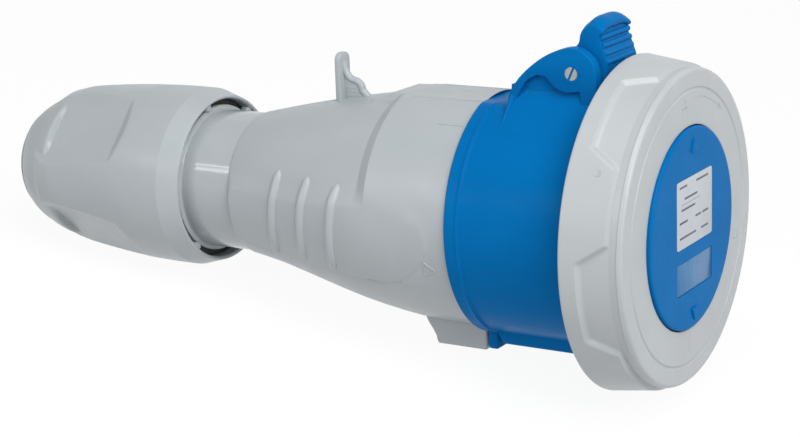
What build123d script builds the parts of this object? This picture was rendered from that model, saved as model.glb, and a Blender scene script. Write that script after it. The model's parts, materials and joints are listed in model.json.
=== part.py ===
from build123d import *
from math import atan2, cos, degrees, radians, sin, sqrt
import os

os.makedirs("parts", exist_ok=True)

# A cable-mounted socket of a round industrial plug system, in millimetres.
# It is built along its own axis: x = 0 is the joint between handle and shroud, +X points out of
# the socket and +Z at the lid hinge. At the end it is laid down as it rests on a table.

# Fits
turn_gap = 0.08          # radial clearance of parts that turn on each other
slip_gap = 0.3           # clearance of parts that pass each other
seat_gap = 0.05          # clearance of parts that are pushed together once

# Shroud that takes the plug
shroud_len = 51.0
shroud_r = 36.3
shroud_wall = 6.0
shroud_band = 0.5        # raised band at the rear
shroud_band_len = 4.5
shroud_floor_x = 8.0
shroud_floor = 4.0
shroud_flat = 1.9        # depth of the flat along the top
tail_len = 16.0          # sleeve that plugs into the handle
tail_wall = 3.6
keyway_half = 4.5
keyway_depth = 3.6
bulge_half = 11.0
bulge = 3.5              # raised ridge over the keyway
bulge_start = 6.0
tab_len = 3.6
lug_half_angle = 5.0     # bayonet lugs at both sides of the mouth
lug_len = 3.8
lug_setback = 0.6

# Hinge on top of the shroud
pin_x = 30.0
pin_z = 44.9
pin_r = 1.9
ear_inner = 10.3
ear_plate = 2.2
ear_rim = 1.5
ear_top_r = 7.2
ear_front_x = 37.6
ear_root_x = 9.5

# Lid
disc_r = 29.2
disc_wall = 3.0
flange = 3.4
boss = 4.3               # height of the round front above the flange
lid_standoff = 1.8       # flange to shroud mouth
gasket_in_r = 31.6
gasket_out_r = 36.4
gasket_groove = 1.6
arm_half = 9.6
arm_in_r = 38.4
hub_r = 6.0
hub_split = 3.6
label_w = 25.0
label_h = 20.0
label_z = 5.6
label_t = 0.3
window_w = 24.6
window_h = 9.4
window_z = -13.0
window_t = 1.4

# Turning ring that locks the lid
ring_r = 48.6
ring_wall = 5.3          # skirt between its grip and its inside
ring_depth = 18.0
land_draft = 1.6         # the grip gets slimmer by this towards the rim
land_len = 13.5
rim_step = 1.1           # from the grip down to the front rim
rim_round = 1.4
recess_depth = 1.3
recess_setback = 5.4     # rear band behind a grip recess
recess_half_angle = 14.0
recess_spread = 32.5     # two recesses on each side, this far from its middle
recess_side = 72.0       # middle of the near side, from the hinge side
face_line_r = 40.0
face_line_w = 0.6
ramp_depth = 4.4
ramp_start = 103.0       # from the hinge side, lid unlocked
ramp_span = 44.0
ramp_low = 2.6
ramp_high = 3.7
bead_depth = 1.0
bead_w = 1.4
ring_turn = 52.0         # travel from unlocked to locked

# Handle
handle_r = 35.3
handle_flat = 1.3        # depth of the flat along the top
handle_wall = 2.3
rail_half = 8.0          # flat rail that runs on over the crescent step
rail_len = 32.0
rail_run_out = 8.0
barrel_len = 27.5
cone_len = 56.5
neck_r = 22.0
grip_step = 0.7
neck_bare = 18.5
collar_r = 24.9
collar_w = 2.0
thread_r = 24.3
thread_len = 18.0
oring_w = 2.2
neck_wall = 4.5
pad_height = 0.8
bar_width = 2.8
bar_height = 0.8
bar_count = 3
bar_first_x = -65.0
bar_pitch = 10.2
fin_x = -58.3
fin_t = 2.4
fin_half = 4.0
fin_z = 43.7
web_half = 1.3
foot_drop = 5.6          # below the round of the handle
foot_len = 17.2
foot_half = 12.0
lock_screw_r = 1.85
lock_screw_len = 10.0
lock_head_r = 3.3
lock_head = 2.2
lock_head_sink = 2.6
lock_screw_x = -10.5

# Contacts on a circle, earth at the bottom in line with the keyway
contact_circle_r = 11.5
line_pin_r = 3.0
earth_pin_r = 4.0
pin_play = 0.06
sleeve_wall = 1.5
sleeve_len = 38.0
spigot_r = 23.0
spigot_setback = 2.0
spigot_face = 3.0
carrier_flange = 5.0
carrier_core_r = 17.5    # hollow behind the spigot's rim
plate_t = 4.0
terminal_len = 12.0
terminal_half = 5.0
wire_r = 2.6
terminal_screw_r = 2.2
barrier_len = 15.0
barrier_t = 1.8
plate_screw_r = 1.6
plate_screw_y = 22.0
plate_screw_z = 8.0

# Cable gland
nut_r = 28.6
nut_mouth_r = 27.2
nut_mouth_gap = 0.7      # round the neck's collar
nut_mouth_depth = 7.5
nut_chamfer = 6.2
nut_len = 73.0
nut_end_r = 15.2
nut_collar_r = 24.0      # round spout behind the grip recesses
nut_collar_start = 55.5
nut_end_wall = 3.0
nut_hole_r = 12.2
scoop_count = 4
scoop_half_angle = 22.0
scoop_start = 26.8       # from the mouth
scoop_len = 34.0
cage_fingers = 12
cage_wall = 2.4
cage_base = 6.0
cage_len = 28.0
cage_tip_r = 17.5
cage_room = 1.2          # between the fingers and the nut, before it is tightened
seal_len = 24.0
slip_ring_t = 2.2
cable_r = 9.6
nut_travel = 6.0
thread_pitch = 3.0

mouth_x = shroud_len
shroud_bore_r = shroud_r - shroud_wall
shroud_top = shroud_r - shroud_flat
handle_top = handle_r - handle_flat
foot_z = handle_r + foot_drop
bulge_r = shroud_r + bulge
ring_skirt_r = ring_r - ring_wall
flange_r = ring_skirt_r - 0.5
lug_r = ring_skirt_r - 1.1
ramp_in_r = ring_skirt_r - ramp_depth
flange_x = mouth_x + lid_standoff
flange_front_x = flange_x + flange
disc_x = flange_front_x + boss
ring_front_x = disc_x - 0.9
ring_rear_x = ring_front_x + 0.4 - ring_depth
tail_r = handle_r - handle_wall - seat_gap
tail_in_r = tail_r - tail_wall
carrier_flange_r = tail_in_r - 0.75
cone_end_x = -barrel_len - cone_len
neck_end_x = cone_end_x - neck_bare
nut_mouth_x = neck_end_x + 1.8
nut_end_x = nut_mouth_x - nut_len
thread_end_x = neck_end_x - collar_w - oring_w - thread_len
nut_mouth_in_r = collar_r + nut_mouth_gap
contact_angles = {"line": 210.0, "neutral": 330.0, "earth": 90.0}


def turned(points):
    # solid turned about the x axis from (x, radius) points
    return revolve(Plane.XZ * make_face(Polyline(*points, close=True)), Axis.X)


def turned_wire(*edges):
    return revolve(Plane.XZ * make_face(Wire(list(edges))), Axis.X)


def tube(x0, x1, r_out, r_in):
    return turned([(x0, r_in), (x1, r_in), (x1, r_out), (x0, r_out)])


def rod(x0, x1, r, y=0.0, z=0.0):
    return Pos((x0 + x1) / 2, y, z) * Rot(0, 90, 0) * Cylinder(r, x1 - x0)


def cross_rod(y0, y1, r, x, z):
    return Pos(x, (y0 + y1) / 2, z) * Rot(90, 0, 0) * Cylinder(r, y1 - y0)


def block(x0, x1, y0, y1, z0, z1):
    return Pos((x0 + x1) / 2, (y0 + y1) / 2, (z0 + z1) / 2) * Box(x1 - x0, y1 - y0, z1 - z0)


def side_plate(face, y0, y1):
    # a face drawn in (x, z), thickened from y0 to y1
    return Pos(0, y1, 0) * extrude(Plane.XZ * face, y1 - y0)


def sector(x0, x1, r_in, r_out, start, span):
    # part of a tube, its angle counted from the hinge side, anticlockwise seen from the front
    whole = tube(x0, x1, r_out, r_in)
    return whole & wedge(x0, x1, r_out * 2, start, span)


def wedge(x0, x1, reach, start, span):
    steps = max(2, int(span / 30) + 1)
    rim = [spoke(reach, start + span * i / steps) for i in range(steps + 1)]
    face = make_face(Polyline((0, 0), *rim, close=True))
    return Pos(x0, 0, 0) * extrude(Plane.YZ * face, x1 - x0)


def spoke(r, angle):
    # (y, z) of a point at this angle from the hinge side
    return (-r * sin(radians(angle)), r * cos(radians(angle)))


def turn_x(shape, angle):
    return Rot(angle, 0, 0) * shape


# Shroud

def ear_outline():
    root = (ear_root_x, shroud_bore_r)
    rear = (pin_x - 3.5, pin_z + ear_top_r - 0.6)
    nose = (ear_front_x, pin_z + 0.6)
    edges = [
        Line(root, (ear_root_x, shroud_top - 1)),
        ThreePointArc((ear_root_x, shroud_top - 1), (ear_root_x + 7.0, pin_z + 0.9), rear),
        ThreePointArc(rear, (pin_x + 4.2, pin_z + ear_top_r - 0.9), nose),
        Line(nose, (ear_front_x, shroud_bore_r)),
        Line((ear_front_x, shroud_bore_r), root),
    ]
    return make_face(Wire(edges))


def ear_recess():
    # hollow of the raised rim, under the pin boss
    low = shroud_bore_r - 1
    points = [
        (ear_root_x + 2.6, low), (ear_root_x + 3.2, shroud_top + 0.5), (ear_root_x + 9.8, pin_z - 1.3),
        (ear_root_x + 12.0, pin_z - 1.5), (pin_x - 5.2, pin_z - 4.6), (pin_x + 2.2, pin_z - 4.9),
        (pin_x + 3.2, low),
    ]
    return make_face(Polyline(*points, close=True))


def ears():
    plate = side_plate(ear_outline(), ear_inner, ear_inner + ear_plate)
    rim = side_plate(ear_outline() - ear_recess(), ear_inner + ear_plate, ear_inner + ear_plate + ear_rim)
    ear = plate + rim
    pair = ear + mirror(ear, Plane.XZ)
    return pair - cross_rod(-20, 20, pin_r + turn_gap, pin_x, pin_z)


def shroud_lugs():
    x1 = mouth_x - lug_setback
    lug = sector(x1 - lug_len, x1, shroud_r - 0.5, lug_r, 90 - lug_half_angle, 2 * lug_half_angle)
    return lug + mirror(lug, Plane.XZ)


def make_shroud():
    outer = turned([
        (0, 0), (0, shroud_r), (shroud_band, shroud_r + shroud_band), (shroud_band_len, shroud_r + shroud_band),
        (shroud_band_len + shroud_band, shroud_r), (mouth_x - 0.6, shroud_r), (mouth_x, shroud_r - 0.6),
        (mouth_x, 0),
    ])
    flat = block(-1, pin_x - 12, -shroud_r, shroud_r, shroud_top, shroud_r * 1.5)
    ridge = rod(bulge_start, mouth_x - 0.4, bulge_r)
    ridge &= block(0, mouth_x, -bulge_half, bulge_half, -bulge_r - 1, -shroud_bore_r)
    tab = block(0, tab_len, -foot_half, foot_half, -foot_z + 0.7, -shroud_bore_r)
    body = (outer - flat) + ridge + tab + ears() + shroud_lugs() + rod(-tail_len, 0.2, tail_r)
    bore = turned([
        (shroud_floor_x, 0), (shroud_floor_x, shroud_bore_r), (mouth_x - 1.5, shroud_bore_r),
        (mouth_x + 0.1, shroud_bore_r + 1.6), (mouth_x + 0.1, 0),
    ])
    keyway = block(shroud_floor_x, mouth_x + 1, -keyway_half, keyway_half, -shroud_bore_r - keyway_depth, 0)
    rear = rod(-tail_len - 1, shroud_floor_x - shroud_floor, tail_in_r)
    through = rod(0, shroud_floor_x + 1, spigot_r + seat_gap)
    seal_groove = tube(-5.6, -3.0, tail_r + 1, tail_r - 1.9)
    screw_hole = lock_rod(lock_screw_r + seat_gap, -tail_r - 1, -tail_in_r + 1)
    return body - bore - keyway - rear - through - seal_groove - screw_hole


def lock_rod(r, z0, z1):
    return Pos(lock_screw_x, 0, (z0 + z1) / 2) * Cylinder(r, z1 - z0)


def make_body_seal():
    ring = Rot(0, 90, 0) * Torus(handle_r - handle_wall - 0.98, 0.94)
    return Pos(-4.3, 0, 0) * ring


# Contact insert

def contact_place(name):
    a = radians(contact_angles[name])
    return (-contact_circle_r * cos(a), -contact_circle_r * sin(a))


def pin_radius(name):
    return earth_pin_r if name == "earth" else line_pin_r


def contact_front_x():
    return mouth_x - spigot_setback - spigot_face


def make_contact_carrier():
    front = mouth_x - spigot_setback
    back = shroud_floor_x - shroud_floor
    body = turned([
        (back - carrier_flange, 0), (back - carrier_flange, carrier_flange_r), (back, carrier_flange_r),
        (back, spigot_r), (front - 1, spigot_r), (front, spigot_r - 1), (front, 0),
    ])
    for angle in (30, 150, 270):
        pocket = tube(back, front - 8, spigot_r - 2.2, carrier_core_r - 2.5) & wedge(
            back, front, 2 * spigot_r, angle + 60 - 24, 48)
        body -= pocket + Pos(-carrier_flange - 1, 0, 0) * pocket
    for name in contact_angles:
        y, z = contact_place(name)
        r = pin_radius(name)
        body -= rod(back - carrier_flange - 1, contact_front_x(), r + sleeve_wall + pin_play + seat_gap, y, z)
        body -= rod(0, front + 1, r + 0.5, y, z)
    pilot = rod(front - 6, front + 1, 2.0)
    return body - pilot


def make_terminal_plate():
    # rear plate with the fins that keep the terminals apart
    x1 = shroud_floor_x - shroud_floor - carrier_flange
    x0 = x1 - plate_t
    body = rod(x0, x1, carrier_flange_r)
    for name in contact_angles:
        y, z = contact_place(name)
        body -= rod(x0 - 1, x1 + 1, pin_radius(name) + sleeve_wall + pin_play + seat_gap, y, z)
        fin = block(x0 - barrier_len, x0, -barrier_t / 2, barrier_t / 2, 0, carrier_flange_r - 4)
        a = contact_angles[name]
        body += turn_x(fin, a - 90)
    for side in (-1, 1):
        body -= rod(x0 - 1, x1 + 1, plate_screw_r + seat_gap, side * plate_screw_y, plate_screw_z)
    return body


def make_plate_screws():
    x0 = shroud_floor_x - shroud_floor - carrier_flange - plate_t
    out = []
    head_t = plate_screw_r * 1.4
    z = plate_screw_z
    for side in (-1, 1):
        y = side * plate_screw_y
        shank = rod(x0, x0 + plate_t, plate_screw_r, y, z)
        head = rod(x0 - head_t, x0, plate_screw_r * 1.9, y, z)
        slot = block(x0 - head_t - 0.1, x0 - head_t / 2, y - 0.4, y + 0.4, z - 4, z + 4)
        out.append(shank + head - slot)
    return Compound(children=out)


def make_contact(name):
    y, z = contact_place(name)
    r = pin_radius(name)
    front = contact_front_x()
    plate_x = shroud_floor_x - shroud_floor - carrier_flange - plate_t
    outer = r + pin_play + sleeve_wall
    sleeve = rod(front - sleeve_len, front, outer, y, z) - rod(front - sleeve_len + 6, front + 1, r + pin_play, y, z)
    cuts = block(front - 16, front + 1, y - 0.4, y + 0.4, z - 12, z + 12)
    shank = rod(plate_x, front - sleeve_len + 1, outer, y, z)
    tail = block(plate_x - terminal_len, plate_x, y - terminal_half, y + terminal_half,
                 z - terminal_half, z + terminal_half)
    tail -= rod(plate_x - terminal_len - 1, plate_x - 3, wire_r, y, z)
    screw_hole = terminal_cylinder(name, terminal_screw_r + seat_gap, 0, terminal_half + 3)
    return (sleeve - cuts) + shank + (tail - screw_hole)


def terminal_cylinder(name, r, start, end):
    # radial cylinder through the middle of a terminal, measured out from its wire hole
    y, z = contact_place(name)
    plate_x = shroud_floor_x - shroud_floor - carrier_flange - plate_t
    d = 1 if z > 0 else -1
    x = plate_x - terminal_len + 4
    return Pos(x, y, z + d * (start + end) / 2) * Cylinder(r, end - start)


def make_terminal_screws():
    out = []
    for name in contact_angles:
        shank = terminal_cylinder(name, terminal_screw_r, wire_r - 1.4, terminal_half)
        head = terminal_cylinder(name, terminal_screw_r + 1.1, terminal_half, terminal_half + 1.8)
        y, z = contact_place(name)
        slot = terminal_cylinder(name, 6, terminal_half + 0.8, terminal_half + 2) & block(
            -60, 20, y - 0.4, y + 0.4, -60, 60)
        out.append(shank + head - slot)
    return Compound(children=out)


# Lid and locking ring

def lid_paddle():
    # side view of the arm, hub and thumb lever
    arm_top = ring_skirt_r - 0.5
    edges = [
        Line((pin_x, pin_z - hub_r), (pin_x + 6, arm_in_r)),
        Line((pin_x + 6, arm_in_r), (flange_x + 1, arm_in_r)),
        Line((flange_x + 1, arm_in_r), (flange_x + 1, arm_top)),
        Line((flange_x + 1, arm_top), (ring_rear_x - 0.6, arm_top)),
        Line((ring_rear_x - 0.6, arm_top), (pin_x + 8.7, pin_z + 1.2)),
        ThreePointArc((pin_x + 8.7, pin_z + 1.2), (pin_x + 8.2, pin_z + 5.4), (pin_x + 6.0, pin_z + 7.6)),
        Line((pin_x + 6.0, pin_z + 7.6), (pin_x + 5.7, pin_z + 13.6)),
        ThreePointArc((pin_x + 5.7, pin_z + 13.6), (pin_x + 4.4, pin_z + 15.2), (pin_x + 2.6, pin_z + 14.4)),
        ThreePointArc((pin_x + 2.6, pin_z + 14.4), (pin_x + 0.8, pin_z + 11.4), (pin_x + 0.4, pin_z + 8.0)),
        Line((pin_x + 0.4, pin_z + 8.0), (pin_x - 1.5, pin_z + 5.8)),
        ThreePointArc((pin_x - 1.5, pin_z + 5.8), (pin_x - hub_r, pin_z), (pin_x, pin_z - hub_r)),
    ]
    body = side_plate(make_face(Wire(edges)), -arm_half, arm_half)
    crown = Pos(0, 0, pin_z + 15.2 - 16.0) * Box(200, 2 * arm_half, 32.0)
    crown = fillet(crown.edges().filter_by(Axis.X).group_by(Axis.Z)[-1], 5.0)
    body = body & (Pos(pin_x, 0, 0) * crown)
    for drop in (11.8, 9.4):
        body -= cross_rod(-20, 20, 0.55, pin_x + 5.9, pin_z + drop)
    spring_room = block(pin_x - 8, pin_x + hub_r + 1.2, -hub_split, hub_split, pin_z - 8, pin_z + hub_r)
    under_ring = tube(ring_rear_x - 0.7, flange_x + 2, 70, ring_skirt_r - 0.5)
    return body - under_ring - spring_room - cross_rod(-20, 20, pin_r + turn_gap, pin_x, pin_z)


def arrow_mark(z, up):
    tip = 2.0 * up
    face = make_face(Polyline((-1.6, z - tip / 2), (1.6, z - tip / 2), (0, z + tip / 2 + tip / 4), close=True))
    return Pos(disc_x - 0.2, 0, 0) * extrude(Plane.YZ * face, 0.6)


def make_lid():
    shell = turned([
        (flange_x, 0), (flange_x, flange_r), (flange_front_x, flange_r), (flange_front_x, disc_r),
        (disc_x - 0.5, disc_r), (disc_x, disc_r - 0.5), (disc_x, 0),
    ])
    groove = tube(flange_x - 1, flange_x + gasket_groove, gasket_out_r + seat_gap, gasket_in_r - seat_gap)
    hollow = rod(flange_x - 1, disc_x - disc_wall, disc_r - 2.2)
    label_pocket = block(disc_x - label_t, disc_x + 1, -label_w / 2, label_w / 2,
                         label_z - label_h / 2, label_z + label_h / 2)
    window_pocket = block(disc_x - window_t, disc_x + 1, -window_w / 2, window_w / 2,
                          window_z - window_h / 2, window_z + window_h / 2)
    body = shell + lid_paddle() - groove - hollow - label_pocket - window_pocket
    return body + arrow_mark(24.0, 1) + arrow_mark(-25.0, -1)


def make_gasket():
    x1 = flange_x + gasket_groove - 0.02
    return turned([
        (mouth_x + 0.05, gasket_in_r + 1.2), (mouth_x + 0.05, gasket_out_r - 1.2), (flange_x, gasket_out_r),
        (x1, gasket_out_r), (x1, gasket_in_r), (flange_x, gasket_in_r),
    ])


def plate_at(w, h, z, x0, x1, corner):
    sheet = Pos(0, 0, z) * Rot(0, 90, 0) * RectangleRounded(h, w, corner)
    return Pos(x0, 0, 0) * extrude(sheet, x1 - x0)


def make_rating_plate():
    return plate_at(label_w - 0.2, label_h - 0.2, label_z, disc_x - label_t + 0.02, disc_x + 0.05, 0.8)


def make_marking_window():
    return plate_at(window_w - 0.2, window_h - 0.2, window_z, disc_x - window_t + 0.02, disc_x - 0.1, 0.4)


def land_r(x):
    # radius of the grip, which is slightly conical
    return ring_r - land_draft * (x - ring_rear_x) / land_len


def grip_recess(angle):
    # step cut from the grip between its rear band and the front rim
    x0 = ring_rear_x + recess_setback
    x1 = ring_rear_x + land_len + 2.5
    cut = turned([
        (x0 + 0.8, land_r(x0) - recess_depth), (x1, land_r(x1) - recess_depth), (x1, ring_r + 2),
        (x0 - 0.8, ring_r + 2), (x0 - 0.8, land_r(x0) + 0.3),
    ])
    return cut & wedge(x0 - 1, x1, 2 * ring_r, angle - recess_half_angle, 2 * recess_half_angle)


def ramp_section(angle, height):
    x0 = ring_rear_x + 0.6
    y0, z0 = spoke(ramp_in_r, angle)
    y1, z1 = spoke(ring_skirt_r + 0.4, angle)
    return make_face(Polyline((x0, y0, z0), (x0 + height, y0, z0), (x0 + height, y1, z1), (x0, y1, z1), close=True))


def ring_ramp():
    # inner rail that rises as it turns under the bayonet lug
    steps = 4
    sections = []
    for i in range(steps + 1):
        part = i / steps
        height = ramp_low + (ramp_high - ramp_low) * min(1.0, part * 1.5)
        sections.append(ramp_section(ramp_start + ramp_span * part, height))
    return loft(sections, ruled=True)


def ring_beads():
    # snap beads that hold the ring on the lid flange
    x1 = flange_x - slip_gap
    r = flange_r - bead_depth
    return [sector(x1 - bead_w, x1, r, ring_skirt_r + 0.3, a, 14) for a in (100, 145, 190, 235)]


def make_locking_ring():
    x0, x1 = ring_rear_x, ring_front_x
    land_x = x0 + land_len
    rim_r = land_r(land_x) - rim_step
    body = turned([
        (x0, ring_skirt_r), (x0, ring_r - 0.5), (x0 + 0.5, ring_r), (land_x, land_r(land_x)),
        (land_x + 1.2, rim_r), (x1 - rim_round, rim_r - 0.3), (x1 - 0.4, rim_r - 0.3 - rim_round / 2),
        (x1, rim_r - 0.3 - rim_round), (x1, disc_r + slip_gap),
        (flange_front_x + 0.15, disc_r + slip_gap), (flange_front_x + 0.15, ring_skirt_r),
    ])
    for side in (recess_side, recess_side + 180):
        for spread in (-recess_spread, recess_spread):
            body -= grip_recess(side + spread)
    body -= tube(x1 - 0.4, x1 + 1, face_line_r, face_line_r - face_line_w)
    ramp = ring_ramp()
    body += ramp + turn_x(ramp, 180)
    for bead in ring_beads():
        body += bead
    return body


# Hinge parts

def make_hinge_pin():
    y1 = ear_inner + ear_plate + ear_rim
    pin = cross_rod(-y1 - 0.1, y1 + 1.4, pin_r, pin_x, pin_z)
    slot = block(pin_x - 0.35, pin_x + 0.35, -y1 - 1, -y1 + 0.8, pin_z - 3, pin_z + 3)
    slot = Pos(pin_x, 0, pin_z) * Rot(0, 25, 0) * Pos(-pin_x, 0, -pin_z) * slot
    groove = cross_rod(y1 + 0.25, y1 + 0.95, pin_r + 1, pin_x, pin_z) - cross_rod(0, 20, pin_r - 0.4, pin_x, pin_z)
    return pin - slot - groove


def make_pin_clip():
    y1 = ear_inner + ear_plate + ear_rim
    clip = cross_rod(y1 + 0.3, y1 + 0.9, pin_r + 1.5, pin_x, pin_z)
    clip -= cross_rod(y1 - 1, y1 + 2, pin_r - 0.36, pin_x, pin_z)
    return clip - block(pin_x - 1.0, pin_x + 1.0, y1 - 1, y1 + 2, pin_z - 8, pin_z)


def make_lid_spring():
    wire = 0.45
    coil_r = pin_r + turn_gap + 0.6 + wire
    half = hub_split - 0.7
    coil = Helix(pitch=1.1, height=2 * half - 1.0, radius=coil_r)
    start = coil @ 0
    section = Plane(origin=start, z_dir=coil % 0) * Circle(wire)
    body = sweep(section, path=coil, is_frenet=True)
    return Pos(pin_x, -half + 0.5, pin_z) * Rot(-90, 0, 0) * body


# Handle

def handle_outside():
    cone_root_r = handle_r - 1.9
    cone_mid = (-barrel_len - 0.42 * cone_len, neck_r + grip_step + 7.6)
    return turned_wire(
        Line((0, 0), (0, handle_r)),
        Line((0, handle_r), (-barrel_len, handle_r)),
        Line((-barrel_len, handle_r), (-barrel_len - 1.6, cone_root_r)),
        ThreePointArc((-barrel_len - 1.6, cone_root_r), cone_mid, (cone_end_x, neck_r + grip_step)),
        Line((cone_end_x, neck_r + grip_step), (cone_end_x - 0.5, neck_r)),
        Line((cone_end_x - 0.5, neck_r), (neck_end_x, neck_r)),
        Line((neck_end_x, neck_r), (neck_end_x, 0)),
        Line((neck_end_x, 0), (0, 0)),
    )


def neck_spout():
    # collar, seal groove and thread cylinder that the gland nut runs on
    x = neck_end_x
    return turned([
        (x, 0), (x, collar_r - 0.5), (x - 0.5, collar_r), (x - collar_w, collar_r), (x - collar_w, thread_r - 1.6),
        (x - collar_w - oring_w, thread_r - 1.6), (x - collar_w - oring_w, thread_r),
        (thread_end_x + 1, thread_r), (thread_end_x, thread_r - 1), (thread_end_x, 0),
    ])


def handle_inside():
    neck_in = thread_r - 2 - neck_wall
    wall = handle_wall
    return turned([
        (1, 0), (1, handle_r - wall), (-tail_len - 1, handle_r - wall), (-tail_len - 3, handle_r - wall - 1.6),
        (-barrel_len - 2, handle_r - wall - 2.6), (cone_end_x, neck_r - wall), (cone_end_x - 3, neck_in),
        (thread_end_x - 1, neck_in), (thread_end_x - 1, 0),
    ])


def grip_pads():
    # raised side panels: the outside grown by the pad height, kept within a drawn outline
    grown = turned([
        (-1, 0), (-1, handle_r + pad_height), (-barrel_len, handle_r + pad_height),
        (-barrel_len - 0.42 * cone_len, neck_r + grip_step + 7.6 + pad_height),
        (cone_end_x, neck_r + grip_step + pad_height), (cone_end_x, 0),
    ])
    x0 = cone_end_x
    outline = make_face(Wire([
        Line((x0, 7.0), (-31, 10.9)),
        ThreePointArc((-31, 10.9), (-12, 8.8), (-5, 1.8)),
        Spline((-5, 1.8), (-6.2, -3.7), (-10.4, -10.9), (-16.3, -16.0), (-23.9, -17.6), (-33.3, -15.8)),
        Line((-33.3, -15.8), (x0, -8.0)),
        Line((x0, -8.0), (x0, 7.0)),
    ]))
    return grown & side_plate(outline, -60, 60)


def cone_radius(x):
    # radius of the handle's cone at x, along the chord of its arc
    part = (-barrel_len - x) / cone_len
    bow = 1.4 * 4 * part * (1 - part)
    return handle_r - 1.9 + (neck_r + grip_step - handle_r + 1.9) * part + bow


def grip_bars():
    bars = []
    for i in range(bar_count):
        x = bar_first_x + i * bar_pitch
        r = cone_radius(x) + pad_height + bar_height
        slab = Pos(x, 0, -4.5 - i * 0.6) * Rot(90, 0, 0) * extrude(
            SlotOverall(29 + 1.2 * i, bar_width, 90), 60, both=True)
        bars.append(slab & rod(x - bar_width, x + bar_width, r))
    return bars


def handle_fin():
    top = fin_z
    plate = block(fin_x, fin_x + fin_t, -fin_half, fin_half, 25, top)
    plate = fillet(plate.edges().filter_by(Axis.X).group_by(Axis.Z)[-1], 2.2)
    web = make_face(Wire([
        Line((fin_x + 1, 24), (fin_x + 1, top - 5)),
        Line((fin_x + 1, top - 5), (fin_x + 4.0, top - 5)),
        ThreePointArc((fin_x + 4.0, top - 5), (fin_x + 7.4, top - 9.6), (fin_x + 14.5, top - 14.5)),
        Line((fin_x + 14.5, top - 14.5), (fin_x + 14.5, 24)),
        Line((fin_x + 14.5, 24), (fin_x + 1, 24)),
    ]))
    return plate + side_plate(web, -web_half, web_half)


def top_rail():
    # flat rail along the top, run out on the cone
    low = neck_r
    face = make_face(Polyline(
        (-1, low), (-1, handle_top), (-rail_len, handle_top), (-rail_len - rail_run_out, handle_top - 2.8),
        (-rail_len - rail_run_out, low), close=True))
    return side_plate(face, -rail_half, rail_half)


def make_handle():
    body = handle_outside() + grip_pads()
    for bar in grip_bars():
        body += bar
    body -= block(-barrel_len - 12, 1, -handle_r, handle_r, handle_top, handle_r * 1.5)
    body += top_rail()
    foot = block(-foot_len, -0.2, -foot_half, foot_half, -foot_z, -20)
    foot = fillet(foot.edges().filter_by(Axis.X).group_by(Axis.Z)[0], 2.0)
    body += handle_fin() + foot + neck_spout()
    body -= handle_inside()
    screw_hole = lock_rod(lock_screw_r + slip_gap, -foot_z - 1, -handle_r + handle_wall + 1)
    head_room = lock_rod(lock_head_r + slip_gap, -foot_z - 1, -foot_z + lock_head_sink)
    return body - screw_hole - head_room


def make_lock_screw():
    seat = -foot_z + lock_head_sink
    shank = lock_rod(lock_screw_r, seat, seat + lock_screw_len)
    head = lock_rod(lock_head_r, seat - lock_head, seat)
    slot = block(lock_screw_x - 0.4, lock_screw_x + 0.4, -5, 5, seat - lock_head - 1, seat - lock_head / 2)
    return shank + head - slot


# Cable gland

def nut_outside():
    x = nut_mouth_x
    knee = (x - 13.0, nut_r)
    shoulder = (x - 53.0, nut_r - 2.6)
    return turned_wire(
        Line((x, 0), (x, nut_mouth_r)),
        Line((x, nut_mouth_r), (x - nut_chamfer, nut_r)),
        Line((x - nut_chamfer, nut_r), knee),
        ThreePointArc(knee, (x - 34.0, nut_r - 0.8), shoulder),
        ThreePointArc(shoulder, (x - 58.4, nut_r - 3.9), (x - 61.6, nut_collar_r - 1.0)),
        Line((x - 61.6, nut_collar_r - 1.0), (x - 61.6, 0)),
        Line((x - 61.6, 0), (x, 0)),
    )


def nut_collar():
    x = nut_mouth_x - nut_collar_start
    x_end = nut_mouth_x - nut_len
    return turned_wire(
        Line((x, 0), (x, nut_collar_r - 0.5)),
        ThreePointArc((x, nut_collar_r - 0.5), (x - 0.2, nut_collar_r - 0.1), (x - 0.7, nut_collar_r)),
        ThreePointArc((x - 0.7, nut_collar_r), (x - 10.0, nut_collar_r - 3.2), (x_end + 0.4, nut_end_r + 0.6)),
        Line((x_end + 0.4, nut_end_r + 0.6), (x_end, nut_end_r - 0.4)),
        Line((x_end, nut_end_r - 0.4), (x_end, 0)),
        Line((x_end, 0), (x, 0)),
    )


def nut_scoop():
    # flat thumb recess that runs out at the rear
    x1 = nut_mouth_x - scoop_start
    x0 = x1 - scoop_len
    chord = cos(radians(scoop_half_angle))
    face = make_face(Polyline(
        (x1, nut_r + 6), (x1, (nut_r - 0.4) * chord), (x0, (nut_r - 4.2) * chord), (x0, nut_r + 6), close=True))
    return side_plate(face, -nut_r, nut_r)


def cage_cone_r(x):
    # outside of the cage fingers, which the nut's inner cone follows
    slope = (thread_r - 1.0 - cage_tip_r) / (cage_len - cage_base)
    start = thread_end_x - seat_gap - cage_base
    return thread_r - 1.0 - slope * max(0.0, start - x)


def nut_inside():
    x_base = thread_end_x - cage_base
    x_tip = thread_end_x - cage_len
    return turned([
        (nut_mouth_x + 1, 0), (nut_mouth_x + 1, nut_mouth_in_r), (nut_mouth_x - nut_mouth_depth, nut_mouth_in_r),
        (nut_mouth_x - nut_mouth_depth - 1, thread_r + turn_gap), (x_base, thread_r + turn_gap),
        (x_tip, cage_cone_r(x_tip) + cage_room), (slip_ring_x() - 0.05, cage_cone_r(x_tip) + cage_room),
        (nut_end_x + nut_end_wall, nut_hole_r + 1.0), (nut_end_x + nut_end_wall, nut_hole_r),
        (nut_end_x - 1, nut_hole_r), (nut_end_x - 1, 0),
    ])


def make_gland_nut():
    body = nut_outside()
    scoop = nut_scoop()
    for i in range(scoop_count):
        body -= turn_x(scoop, 360 / scoop_count * i + 52)
    return body + nut_collar() - nut_inside()


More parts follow.
